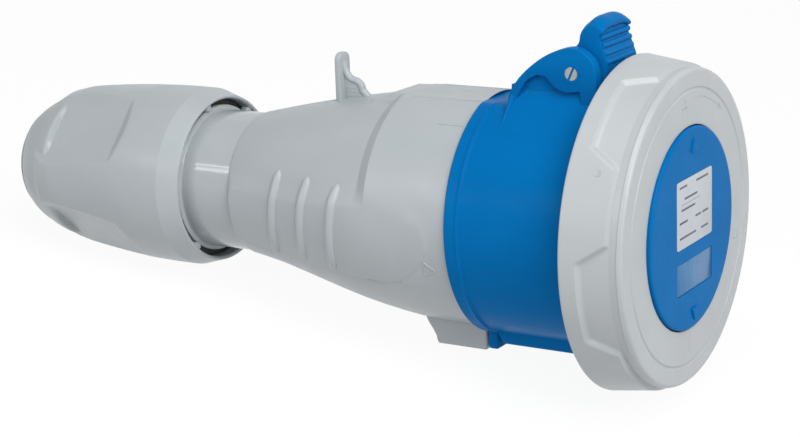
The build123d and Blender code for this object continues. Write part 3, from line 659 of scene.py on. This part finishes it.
nutLook = {
    "mouthX": -100.7, "length": 73.0, "radius": 28.6, "mouthR": 26.5, "chamfer": 6.8, "mouthInner": 25.5,
    "recesses": 4, "recessTurn": 42.0, "recessFront": -121.3, "recessRamp": 6.2, "rampRise": 3.4, "recessMid": 25.7,
    "recessSlope": 0.13, "landEnd": -158.9, "boreEnd": -152.7, "spout": 12.2, "stops": (-50, 76, 130, 230),
    "around": 480, "step": 0.62,
}
coreX = (-174.0, -171.0, -168.5, -166.2, -162.3, -159.4, -157.4, -156.6, -156.1, -155.7, -155.0)
coreR = (15.4, 17.8, 19.5, 20.75, 22.35, 23.35, 23.9, 23.95, 23.6, 22.2, 17.0)


def nutRelief(x, r, a):
    # flat thumb recesses with a ramp at the front, cut down to the round core behind
    n = nutLook
    outer = (x < n["recessFront"] + 0.5) & (x > n["landEnd"] - 2.9) & (r > 22.3)
    core = np.interp(x, coreX, coreR)
    rampEnd = n["recessFront"] - n["recessRamp"]
    mid = n["recessMid"] - n["recessSlope"] * (rampEnd - x)
    mid = mid + n["rampRise"] * np.clip((x - rampEnd) / n["recessRamp"], 0, 2)
    reach = 1.1
    r2 = r.copy()
    for i in range(n["recesses"]):
        d = (a - radians(n["recessTurn"]) - 2 * pi * i / n["recesses"] + pi) % (2 * pi) - pi
        cutR = np.where(np.abs(d) < reach, mid / np.cos(np.clip(d, -reach, reach)), 99.0)
        r2 = np.where(outer, softMin(r2, cutR, 0.16), r2)
    r2 = np.where(outer & (x < -150), softMax(r2, core, 0.25), r2)
    return x, -r2 * np.cos(a), r2 * np.sin(a)


def makeNut():
    n = nutLook
    x, end, bore, spout = n["mouthX"], n["mouthX"] - n["length"], n["boreEnd"], n["spout"]
    bell = [(-113.7 - u, n["radius"] - 0.00836 * u - 0.001416 * u * u) for u in np.linspace(0, 40, 14)]
    corners = [(x, n["mouthInner"] + 0.45), (x, n["mouthR"], 0.25), (x - n["chamfer"], n["radius"] - 0.05, 0.25)]
    corners += bell + [(n["landEnd"], 24.7, 1.5), (-161.5, 23.3, 0.6), (-161.9, 22.4), (-166.2, 20.75), (-168.5, 19.5),
                       (-170.7, 17.95, 0.3), (-170.7, 17.1), (-171.5, 17.1), (-171.5, 17.45, 0.3), (end, 15.2, 0.8),
                       (end, spout, 0.4)]
    inside = [(end + 3, spout), (end + 3, spout + 1), (bore - 2.4, 18.7), (bore, 18.7), (-130.7, 24.2), (x - 8.5, 24.2),
              (x - 7.5, n["mouthInner"]), (x - 0.4, n["mouthInner"], 0.2)]
    shell = turnedGrid("nutShell", shellPath(corners, inside, n["step"], 5.0), n["around"], nutRelief)
    # rounded stops in the mouth, seen beside the neck
    stops = []
    for angle in n["stops"]:
        s = softEdges(tubeAlong("stop", [(-104.4, 0, 24.7), (-101.5, 0, 24.7)], 1.35, 20), 0.5, 3, 50)
        s.data.transform(Matrix.Rotation(radians(90 - angle), 4, "X"))
        stops.append(s)
    seat(joinAll("gland_nut_body", [shell, *stops]), "gland_nut", nutGrey, ["gland_nut"])


makeNut()
print("gland nut ready")


# Shroud with its hinge ears

shroudLook = {
    "radius": 36.3, "band": 0.5, "bandLen": 4.5, "top": 34.4, "bulge": 39.8, "bulgeHalf": 12.0, "mouth": 51.0,
    "bore": 30.3, "keyDepth": 3.5, "pinX": 30.0, "pinZ": 44.9, "earInner": 10.3, "earPlate": 2.2, "earRim": 1.5,
    "around": 400, "step": 0.85,
}


def shroudRelief(x, r, a):
    s = shroudLook
    y, z = -r * np.cos(a), r * np.sin(a)
    outer = r > s["radius"] - 1.0
    # flat behind the hinge
    run = 1 - ease(s["pinX"] - 13, s["pinX"] - 11, x)
    z = np.where(outer & (z > 0), z + (softMin(z, s["top"], 0.6) - z) * run, z)
    # ridge over the keyway, along the underside
    under = outer & (z < 0)
    ridgeZ = -np.sqrt(np.maximum(s["bulge"] ** 2 - y ** 2, 0))
    k = ease(s["bulgeHalf"] + 0.7, s["bulgeHalf"] - 0.5, np.abs(y)) * ease(3.2, 5.2, x) * ease(51.0, 50.0, x)
    z = np.where(under, z + (ridgeZ - z) * k, z)
    # keyway groove inside
    inner = (r < s["bore"] + 2.2) & (x > 7.9) & (z < 0) & (r > 24)
    g = ease(4.9, 4.3, np.abs(y)) * ease(8.0, 8.6, x)
    return x, y, np.where(inner, z - s["keyDepth"] * g, z)


def makeEar(side):
    s = shroudLook
    y0, y1 = s["earInner"], s["earInner"] + s["earPlate"]
    rim = y1 + s["earRim"]
    rear = smoothLine([(9.5, 33.2), (10.2, 37.2), (13.4, 42.7), (19.8, 48.2), (26.2, 51.4), (31.6, 52.0), (36.0, 49.2),
                       (37.6, 45.2)], 5)
    outline = [(9.5, 31.0)] + rear + [(37.6, 31.0)]
    web = softEdges(plate("earWeb", outline, y0, y1), 0.35)
    # rim and boss stand proud of the web
    hollow = [(12.3, 28.0)] + smoothLine([(12.6, 36.6), (15.6, 41.6), (19.3, 43.8)], 4)
    hollow += smoothLine([(22.0, 43.4), (24.6, 40.6), (28.4, 39.3), (32.4, 39.8)], 4) + [(33.3, 28.0)]
    full = cutOut(plate("earRim", outline, y1 - 0.2, rim), plate("earHollow", hollow, y1 - 1, y1 + 4))
    profile = [(rim - 0.3, 2.0), (rim - 0.3, 2.9), (rim + 0.12, 2.75), (rim + 0.12, 2.0)]
    parts = [web, softEdges(full, 0.4), turnedAbout("pinBoss", s["pinX"], s["pinZ"], profile)]
    if side < 0:
        for o in parts:
            o.data.transform(Matrix.Scale(-1, 4, (0, 1, 0)))
            o.data.flip_normals()
    return parts


def cove(side):
    # concave run-out between the ear's web and the shroud, with a rib down its rear edge
    radius = shroudLook["radius"]
    y0, z0, y2 = 12.3, 40.4, 21.5
    z2 = sqrt(radius * radius - y2 * y2) - 0.05
    z1 = (radius * radius - y2 * y0) / z2
    curve = []
    for t in np.linspace(0, 1, 15):
        a, b, c = (1 - t) ** 2, 2 * t * (1 - t), t * t
        curve.append((a * y0 + b * y0 + c * y2, a * z0 + b * z1 + c * z2))
    outline = [(side * y, z) for y, z in curve + [(20.0, 24.0), (10.4, 24.0), (10.4, 40.4)]]
    body = facePlate("cove", outline, 10.3, 37.2)
    line = [(11.0 - 0.03 * i, side * y, z - 0.3) for i, (y, z) in enumerate(curve[3:])]
    return [body, tubeAlong("earRib", line, [1.15 - 0.85 * i / 11 for i in range(12)], 14)]


def makeShroud():
    s = shroudLook
    radius, proud, bandEnd, mouth, bore = s["radius"], s["radius"] + s["band"], s["bandLen"], s["mouth"], s["bore"]
    corners = [(0.05, radius - 0.2, 0.2), (0.6, proud, 0.3), (bandEnd - 0.5, proud - 0.05),
               (bandEnd - 0.1, proud + 0.22, 0.15), (bandEnd + 0.5, radius, 0.2), (mouth, radius, 0.6),
               (mouth, 31.9, 0.2), (mouth - 1.5, bore, 0.3), (8.0, bore, 0.5), (8.0, 23.06), (4.0, 23.06),
               (4.0, 29.35), (-16.0, 29.35), (-16.0, 32.9, 0.4), (0.05, 32.9)]
    body = turnedGrid("shroudShell", roundedPath(corners, s["step"]), s["around"], shroudRelief)
    tab = softEdges(blockAt("tab", (0.2, -12.0, -40.2), (3.6, 12.0, -34)), 0.8)
    lugs = []
    for side in (-1, 1):
        lug = softEdges(blockAt("lug", (46.6, -3.4, 35.6), (50.4, 3.4, 42.1)), 0.5)
        lug.data.transform(Matrix.Rotation(radians(90 * side), 4, "X"))
        lugs.append(lug)
    obj = joinAll("shroud_body", [body, tab, *lugs, *cove(1), *cove(-1), *makeEar(1), *makeEar(-1)])
    seat(obj, "socket", blue, ["shroud"])


makeShroud()
print("shroud ready")


# Locking ring

ringLook = {
    "rear": 42.0, "front": 59.6, "radius": 48.55, "skirt": 43.3, "landLen": 13.3, "draft": 1.85, "rimStep": 1.35,
    "recessDepth": 1.3, "sides": (20.2, 200.2), "spread": 34.2, "half": 14.6, "slant": 6.5, "setback": 5.3, "hole": 29.5,
    "faceLine": 39.7, "railX": 42.6, "railWide": 2.6, "railClimb": 1.1, "markR": 0.16, "around": 600, "step": 0.6,
}


def ringLandR(x):
    n = ringLook
    return n["radius"] - n["draft"] * (x - n["rear"]) / n["landLen"]


def ringRelief(x, r, a):
    # four castellated grip recesses, two to a side, wider towards the rim
    n = ringLook
    landX = n["rear"] + n["landLen"]
    landR = ringLandR(x)
    outer = r > landR - 1.6
    deg = np.degrees(a)
    start = n["rear"] + n["setback"]
    width = n["half"] + n["slant"] * np.clip((x - n["rear"] - n["setback"]) / 8.0, 0, 1)
    drop = np.zeros_like(r)
    for middle in n["sides"]:
        for d in (-n["spread"], n["spread"]):
            off = np.abs((deg - middle - d + 180) % 360 - 180)
            drop = np.maximum(drop, ease(width + 0.75, width - 0.75, off) * ease(start - 0.55, start + 0.55, x))
    # a soft bead along the recess's edge
    bead = np.exp(-((drop - 0.24) / 0.2) ** 2) * (drop > 0.001) * 0.14
    rimR = n["radius"] - n["draft"] - n["rimStep"]
    full = landR - n["recessDepth"] * drop + bead
    step = ease(landX - 0.25, landX + 0.55, x)
    full = full * (1 - step) + np.minimum(r, rimR) * step
    shaped = outer & (x > n["rear"] + 1.2) & (x < n["front"] - 1.6) & (x < landX + 0.6)
    r2 = np.where(shaped, full, r)
    return x, -r2 * np.cos(a), r2 * np.sin(a)


def innerRail(name, start, span, r0, r1, x0, frontAt, steps=24):
    # block on the inside of the skirt; angles from the hinge side as in the solids
    verts = []
    for i in range(steps + 1):
        t = i / steps
        s = radians(start + span * t)
        for x, r in ((x0, r0), (frontAt(t), r0), (frontAt(t), r1), (x0, r1)):
            verts.append((x, -r * sin(s), r * cos(s)))
    caps = [(0, 1, 2, 3), tuple(range(steps * 4 + 3, steps * 4 - 1, -1))]
    return newObject(name, verts, ringFaces(steps + 1, 4) + caps)


def onFace(deg, r, side=0.0):
    # point on the ring's front; deg as on the grips, seen from the front
    a = radians(deg)
    return (ringLook["front"] - 0.03, -r * cos(a) + side * sin(a), r * sin(a) + side * cos(a))


def ringFaceMarks():
    # open and shut padlock outlines with a turn arc, all plain
    runs = []
    for deg, gap in ((84, 1.3), (196, 0.0)):
        box = [(33.2, -1.5), (33.2, 1.5), (35.4, 1.5), (35.4, -1.5), (33.2, -1.5)]
        arc = [(36.3 + gap * 0.4 + sin(radians(t)), cos(radians(t))) for t in range(0, 181, 20)]
        bow = [(35.4, 1.0)] + arc + [(36.3 if gap else 35.4, -1.0)]
        runs += [[(deg, r, w) for r, w in box], [(deg, r, w) for r, w in bow]]
    runs.append([(d, 37.6) for d in range(96, 127, 2)])
    runs.append([(123, 36.8), (126.6, 37.6), (123, 38.5)])
    runs.append([(-90, 31.0), (-90, 36.5)])
    return [tubeAlong("faceMark", [onFace(*p) for p in run], ringLook["markR"], 6) for run in runs]


def dimple(deg, x):
    # shallow ring mark on the grip
    landR = ringLandR(x)
    profile = [(1.15, -0.2), (1.1, 0.12), (0.85, 0.16), (0.55, 0.02)]
    sides = 24
    angles = [2 * pi * k / sides for k in range(sides)]
    verts = [(x + r * cos(t), r * sin(t), landR + h) for r, h in profile for t in angles]
    verts.append((x, 0, landR - 0.02))
    last = (len(profile) - 1) * sides
    faces = ringFaces(len(profile), sides)
    faces += [(last + k, last + (k + 1) % sides, len(verts) - 1) for k in range(sides)]
    faces.append(tuple(range(sides - 1, -1, -1)))
    o = newObject("dimple", verts, faces)
    o.data.transform(Matrix.Rotation(pi / 2 - radians(deg), 4, "X"))
    return o


def makeRing():
    n = ringLook
    rear, f, hole, skirt, line = n["rear"], n["front"], n["hole"], n["skirt"], n["faceLine"]
    landX = rear + n["landLen"]
    landR = n["radius"] - n["draft"]
    rimR = landR - n["rimStep"]
    corners = [(rear, skirt + 0.3), (rear, n["radius"], 0.6), (landX - 0.25, landR), (landX + 0.15, landR - 0.5),
               (landX + 0.55, rimR, 0.1), (f - 1.7, rimR + 0.1, 0.2), (f - 1.5, rimR + 0.3, 0.15), (f, rimR - 0.2, 0.9),
               (f, line + 0.55, 0.1), (f - 0.3, line + 0.25), (f - 0.3, line - 0.1), (f, line - 0.4, 0.1),
               (f, hole, 0.3), (56.35, hole), (56.35, skirt - 0.6), (51.2, skirt), (rear + 0.4, skirt, 0.2)]
    parts = [turnedGrid("ringShell", roundedPath(corners, n["step"]), n["around"], ringRelief)]

    def railFront(t):
        return n["railX"] + n["railWide"] + n["railClimb"] * min(1.0, 1.5 * t)

    # inner rails that rise under the lugs, and the snap beads
    for half in (0, 180):
        parts.append(innerRail("rail", 103 + half, 44, 38.9, 43.6, n["railX"], railFront))
    for start in (100, 145, 190, 235):
        parts.append(innerRail("bead", start, 14, 41.8, 43.6, 51.1, lambda t: 52.5))
    parts += [dimple(31, 50.6), dimple(211, 50.6)] + ringFaceMarks()
    seat(joinAll("locking_ring_body", parts), "locking_ring", ringGrey, ["locking_ring"])


makeRing()
print("locking ring ready")


# Lid, its lever and what sits on its face

lidLook = {
    "flangeX": 52.8, "flangeR": 42.8, "flange": 3.4, "discX": 60.5, "discR": 29.2, "faceShift": 1.4, "pocket": 0.3,
    "labelZ": 5.6, "labelW": 25.0, "labelH": 20.0, "windowZ": -13.0, "windowW": 24.6, "windowH": 9.4,
    "windowDepth": 0.9, "armHalf": 9.6, "crownZ": 52.0, "crownFlat": 3.0,
}
ribLook = {"ribs": 4, "pitch": 2.3, "lean": -0.24, "radius": 0.85, "width": 18.4, "firstX": 38.3, "firstZ": 47.6}


def labelOutline(less=0.0):
    k = lidLook
    return roundedRect(k["labelW"] - less, k["labelH"] - less, 0.9, k["faceShift"], k["labelZ"])


def windowOutline(less=0.0):
    k = lidLook
    return roundedRect(k["windowW"] - less, k["windowH"] - less, 0.6, k["faceShift"], k["windowZ"])


def lidDisc():
    k = lidLook
    dx, dr, x0, fr = k["discX"], k["discR"], k["flangeX"], k["flangeR"]
    fx = x0 + k["flange"]
    corners = [(dx - 3.0, 0.01), (dx - 3.0, dr - 2.2, 0.4), (x0, dr - 2.2), (x0, 31.55), (x0 + 1.6, 31.55),
               (x0 + 1.6, 36.45), (x0, 36.45), (x0, fr, 0.3), (fx, fr, 0.3), (fx, dr, 0.2), (dx, dr, 0.55), (dx, 0.01)]
    body = turnedGrid("lidShell", roundedPath(corners, 1.2, closed=False), 240, closed=False)

    def closePoles(bm):
        bmesh.ops.remove_doubles(bm, verts=bm.verts, dist=0.03)
        bmesh.ops.holes_fill(bm, edges=bm.edges, sides=0)
        bmesh.ops.recalc_face_normals(bm, faces=bm.faces)

    editMesh(body.data, closePoles)
    return cutOut(body, facePlate("labelPocket", labelOutline(), dx - k["pocket"], dx + 2),
                  facePlate("windowPocket", windowOutline(), dx - k["windowDepth"], dx + 2))


def leverOutline():
    front = smoothLine([(38.7, 42.9), (38.8, 46.6), (38.4, 49.6), (37.3, 52.3), (36.7, 54.6), (36.5, 56.4)], 4)
    crest = smoothLine([(36.5, 56.4), (37.5, 57.2), (37.3, 58.5), (35.6, 59.8), (33.4, 59.8), (31.7, 58.3)], 4)[1:]
    rear = smoothLine([(31.7, 58.8), (30.8, 56.3), (30.3, 53.2), (28.5, 50.7)], 4)[1:]
    hub = arcPoints(shroudLook["pinX"], shroudLook["pinZ"], 6.0, 105, 262, 16)
    return [(36.0, 38.4), (53.9, 38.4), (53.9, 42.6), (41.4, 42.6), (40.2, 42.3)] + front + crest + rear + hub


def makeLever():
    k = lidLook
    px, pz = shroudLook["pinX"], shroudLook["pinZ"]

    def slices(bm):
        for y in np.linspace(-8, 8, 11):
            whole = bm.verts[:] + bm.edges[:] + bm.faces[:]
            bmesh.ops.bisect_plane(bm, geom=whole, plane_co=(0, y, 0), plane_no=(0, 1, 0))

    def crown(bm):
        # rounded crown seen from the front
        for v in bm.verts:
            if v.co.z > k["crownZ"] and abs(v.co.y) > k["crownFlat"]:
                v.co.z -= (abs(v.co.y) - k["crownFlat"]) ** 2 * 0.05 * (v.co.z - k["crownZ"]) / 8

    body = plate("lever", leverOutline(), -k["armHalf"], k["armHalf"])
    editMesh(body.data, slices)
    body = softEdges(body, 0.9, 4, 50)
    cutOut(body, blockAt("springRoom", (22.0, -3.6, 36.9), (37.2, 3.6, 50.9)),
           tubeAlong("pinHole", [(px, -20, pz), (px, 20, pz)], 1.98, 32))
    editMesh(body.data, crown)
    return body


def leverRibs():
    # ribs across the lever's front, laid out with Geometry Nodes
    look = ribLook
    tree = bpy.data.node_groups.new("leverRibs", "GeometryNodeTree")
    face, nd, ln = tree.interface, tree.nodes, tree.links
    face.new_socket("Geometry", in_out="INPUT", socket_type="NodeSocketGeometry")
    named = {"Ribs": ("NodeSocketInt", look["ribs"]), "Pitch": ("NodeSocketFloat", look["pitch"]),
             "Radius": ("NodeSocketFloat", look["radius"]), "Width": ("NodeSocketFloat", look["width"]),
             "Finish": ("NodeSocketMaterial", lidBlue)}
    sockets = {key: face.new_socket(key, in_out="INPUT", socket_type=kind) for key, (kind, _) in named.items()}
    face.new_socket("Geometry", in_out="OUTPUT", socket_type="NodeSocketGeometry")
    gin, gout = nd.new("NodeGroupInput"), nd.new("NodeGroupOutput")

    def add(kind, out, **links):
        node = nd.new(kind)
        for key, value in links.items():
            if isinstance(value, bpy.types.NodeSocket):
                ln.new(value, node.inputs[key])
            else:
                node.inputs[key].default_value = value
        return node.outputs[out]

    pitch = gin.outputs["Pitch"]
    step = add("ShaderNodeCombineXYZ", 0, X=mathNode(tree, "MULTIPLY", pitch, look["lean"]), Z=pitch)
    line = add("GeometryNodeMeshLine", "Mesh", Count=gin.outputs["Ribs"], Offset=step)
    rib = add("GeometryNodeMeshCylinder", "Mesh", Vertices=16, Radius=gin.outputs["Radius"], Depth=gin.outputs["Width"])
    across = add("GeometryNodeTransform", "Geometry", Geometry=rib, Rotation=(pi / 2, 0, 0))
    ribs = add("GeometryNodeInstanceOnPoints", "Instances", Points=line, Instance=across)
    real = add("GeometryNodeRealizeInstances", "Geometry", Geometry=ribs)
    there = add("GeometryNodeTransform", "Geometry", Geometry=real, Translation=(look["firstX"], 0, look["firstZ"]))
    done = add("GeometryNodeSetMaterial", "Geometry", Geometry=there, Material=gin.outputs["Finish"])
    ln.new(done, gout.inputs["Geometry"])
    obj = newObject("leverRibs", [(0, 0, 0)], [])
    mod = obj.modifiers.new("ribs", "NODES")
    mod.node_group = tree
    for key, (_, value) in named.items():
        mod[sockets[key].identifier] = value
    return bake(obj)


def labelRules():
    # plain bars and a rule where a plate has its print; rows of z and (start, width)
    k = lidLook
    dx = k["discX"] + 0.05
    ruleZ = 2.9
    rows = [(8.0, ((-10.6, 5.2), (1.0, 8.4))), (4.4, ((-7.2, 9.0),)), (ruleZ, ((-9.4, 13.0),)), (1.4, ((-9.4, 9.6),)),
            (-2.2, ((-10.6, 5.6), (0.4, 4.0), (5.4, 4.2))), (-6.6, ((-10.6, 11.4), (4.4, 5.0)))]
    bars = []
    for z, spans in rows:
        t = 0.14 if z == ruleZ else 0.62
        for start, width in spans:
            outline = roundedRect(width, t, t * 0.3, start + k["faceShift"] + width / 2, k["labelZ"] + z, 2)
            bars.append(facePlate("bar", outline, dx - 0.02, dx + 0.015))
    return joinAll("rating_plate_rules", bars)


def arrow(z, up):
    # small moulded triangle
    dx, y = lidLook["discX"], lidLook["faceShift"] * 0.5
    corners = [(y - 2.0, z - 1.7 * up), (y + 2.0, z - 1.7 * up), (y, z + 2.2 * up)]
    return softEdges(facePlate("arrow", corners, dx - 0.2, dx + 0.55), 0.3, 3)


def makeLid():
    dx = lidLook["discX"]
    obj = joinAll("lid_body", [lidDisc(), makeLever(), leverRibs(), arrow(24.0, 1), arrow(-25.0, -1)])
    seat(obj, "lid", lidBlue, ["lid"])
    labelPlate = softEdges(facePlate("rating_plate_body", labelOutline(0.3), dx - 0.28, dx + 0.05), 0.06, 2)
    seat(labelPlate, "lid", labelMaterial(), ["rating_plate"])
    seat(labelRules(), "lid", inkMaterial)
    windowPlate = softEdges(facePlate("marking_window_body", windowOutline(0.3), dx - 0.88, dx - 0.12), 0.12, 2)
    seat(windowPlate, "lid", windowMaterial(), ["marking_window"])


makeLid()
print("lid ready")


# Carried-over nodes keep their form and get smooth faces and a finish

dressed = [
    (darkPlastic, "dark_plastic", "socket", ["contact_carrier", "terminal_plate", "clamp_cage"]),
    (rubber, "black_rubber", "socket", ["cable_seal", "neck_seal", "body_seal"]),
    (rubber, "black_rubber", "lid", ["lid_gasket"]),
    (whitePlastic, "white_plastic", "slip_ring", ["slip_ring"]),
    (steel, "steel", "socket", ["hinge_pin", "pin_clip", "lid_spring", "lock_screw", "plate_screws", "terminal_screws"]),
    (brass, "brass", "socket", ["line_contact", "neutral_contact", "earth_contact"]),
]


def dressNode(node, body, mat):
    def clean(bm):
        bmesh.ops.remove_doubles(bm, verts=bm.verts, dist=2e-6)
        bmesh.ops.dissolve_degenerate(bm, edges=bm.edges, dist=1e-6)

    me = nodes[node].data.copy()
    me.name = node + "_part"
    editMesh(me, clean)
    finish(placed(node + "_part", me), body, mat, [node], 35)


for mat, slotName, body, names in dressed:
    for node in names:
        dressNode(node, body, mat)
print("inner parts ready")


# Floor, light and camera

stageLook = {
    "floor": (0.35, 0.35, 0.35), "floorLow": (0.34, 0.34, 0.34), "glow": 1.16, "glowShare": 0.80, "glowOnObject": 0.5,
    "halfWide": 3.0, "coveR": 0.6, "wall": 1.6, "worldStrength": 0.13, "worldInGloss": 0.6,
    "lamps": [  # name, place from the object's middle (m), width and height (m), watts
        ("overhead", (0.25, -0.35, 0.95), 0.8, 0.5, 5.5),
        ("frontBank", (0.75, -0.60, 0.75), 0.7, 0.5, 8.0),
        ("faceBank", (1.05, -0.10, 0.45), 0.6, 0.5, 1.8),
        ("longStrip", (-0.47, -0.86, 0.27), 0.62, 0.06, 1.2),
        ("thinStrip", (-0.47, -0.83, 0.36), 0.62, 0.03, 0.8),
    ],
}


def stageMaterial():
    # white to the camera and in reflections; for the light on the object it glows by half of that
    k = stageLook
    m, nt, s = material("paleFloor", k["floor"], 0.9)
    tint(nt, s, nodeNoise(nt, 14, 3), k["floor"], k["floorLow"])
    glow = nt.nodes.new("ShaderNodeEmission")
    glow.inputs["Color"].default_value = (1, 1, 1, 1)
    glow.inputs["Strength"].default_value = k["glow"]
    path = nt.nodes.new("ShaderNodeLightPath")
    seen = k["glowOnObject"]
    for ray in ("Is Camera Ray", "Is Glossy Ray", "Is Transmission Ray"):
        seen = mathNode(nt, "MAXIMUM", path.outputs[ray], seen)
    mix = nt.nodes.new("ShaderNodeMixShader")
    nt.links.new(mathNode(nt, "MULTIPLY", seen, k["glowShare"]), mix.inputs["Fac"])
    nt.links.new(s.outputs[0], mix.inputs[1])
    nt.links.new(glow.outputs[0], mix.inputs[2])
    nt.links.new(mix.outputs[0], nt.nodes["Material Output"].inputs["Surface"])
    return m


def makeFloor(lo):
    # flat floor that turns up into a wall behind
    k = stageLook
    half, r, steps = k["halfWide"], k["coveR"], 12
    bend = half * 0.45
    turns = [radians(90 * i / steps) for i in range(1, steps + 1)]
    rows = [(-half, 0.0), (bend, 0.0)] + [(bend + r * sin(t), r * (1 - cos(t))) for t in turns]
    rows.append((rows[-1][0], rows[-1][1] + k["wall"]))
    verts = [(x, y, z + lo.z - 0.0002) for y, z in rows for x in (-half, half)]
    me = bpy.data.meshes.new("floor")
    me.from_pydata(verts, [], [(2 * i, 2 * i + 1, 2 * i + 3, 2 * i + 2) for i in range(len(rows) - 1)])
    me.materials.append(stageMaterial())
    for p in me.polygons:
        p.use_smooth = True
    floor = placed("floor", me)


def makeWorld():
    w = bpy.data.worlds.new("studio")
    bpy.context.scene.world = w
    w.use_nodes = True
    nt = w.node_tree
    bg = nt.nodes["Background"]
    bg.inputs["Color"].default_value = (1, 1, 1, 1)
    path = nt.nodes.new("ShaderNodeLightPath")
    gloss = mathNode(nt, "MULTIPLY", path.outputs["Is Glossy Ray"], stageLook["worldInGloss"])
    white = mathNode(nt, "MAXIMUM", path.outputs["Is Camera Ray"], gloss)
    nt.links.new(mathNode(nt, "MAXIMUM", white, stageLook["worldStrength"]), bg.inputs["Strength"])


def makeLamps(middle):
    for name, place, wide, high, watts in stageLook["lamps"]:
        lamp = bpy.data.lights.new(name, "AREA")
        lamp.shape = "RECTANGLE"
        lamp.size, lamp.size_y = wide, high
        lamp.energy = watts
        o = placed(name, lamp)
        o.location = middle + Vector(place)
        o.rotation_mode = "QUATERNION"
        o.rotation_quaternion = (middle - o.location).to_track_quat("-Z", "Y")


cameraLook = {"place": (0.3182, -0.5268, 0.2349), "turn": 29.53, "rise": 18.36, "roll": 4.45, "focalPx": 2082.0,
              "frameWidthPx": 800, "sensor": 36}


def makeCamera():
    c = cameraLook
    a, e, r = radians(c["turn"]), radians(c["rise"]), radians(c["roll"])
    back = Vector((sin(a) * cos(e), -cos(a) * cos(e), sin(e)))
    level = Vector((cos(a), sin(a), 0))
    over = back.cross(level)
    right, up = cos(r) * level + sin(r) * over, -sin(r) * level + cos(r) * over
    cam = bpy.data.cameras.new("camera")
    cam.sensor_width = c["sensor"]
    cam.lens = c["focalPx"] / c["frameWidthPx"] * c["sensor"]
    cam.clip_start, cam.clip_end = 0.02, 20
    o = placed("camera", cam)
    o.matrix_world = Matrix.Translation(Vector(c["place"])) @ Matrix((right, up, back)).transposed().to_4x4()
    bpy.context.scene.camera = o


lo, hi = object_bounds()
makeFloor(lo)
makeWorld()
makeLamps((lo + hi) / 2)
makeCamera()
bpy.context.scene.view_settings.view_transform = "Standard"
print("stage and camera ready")
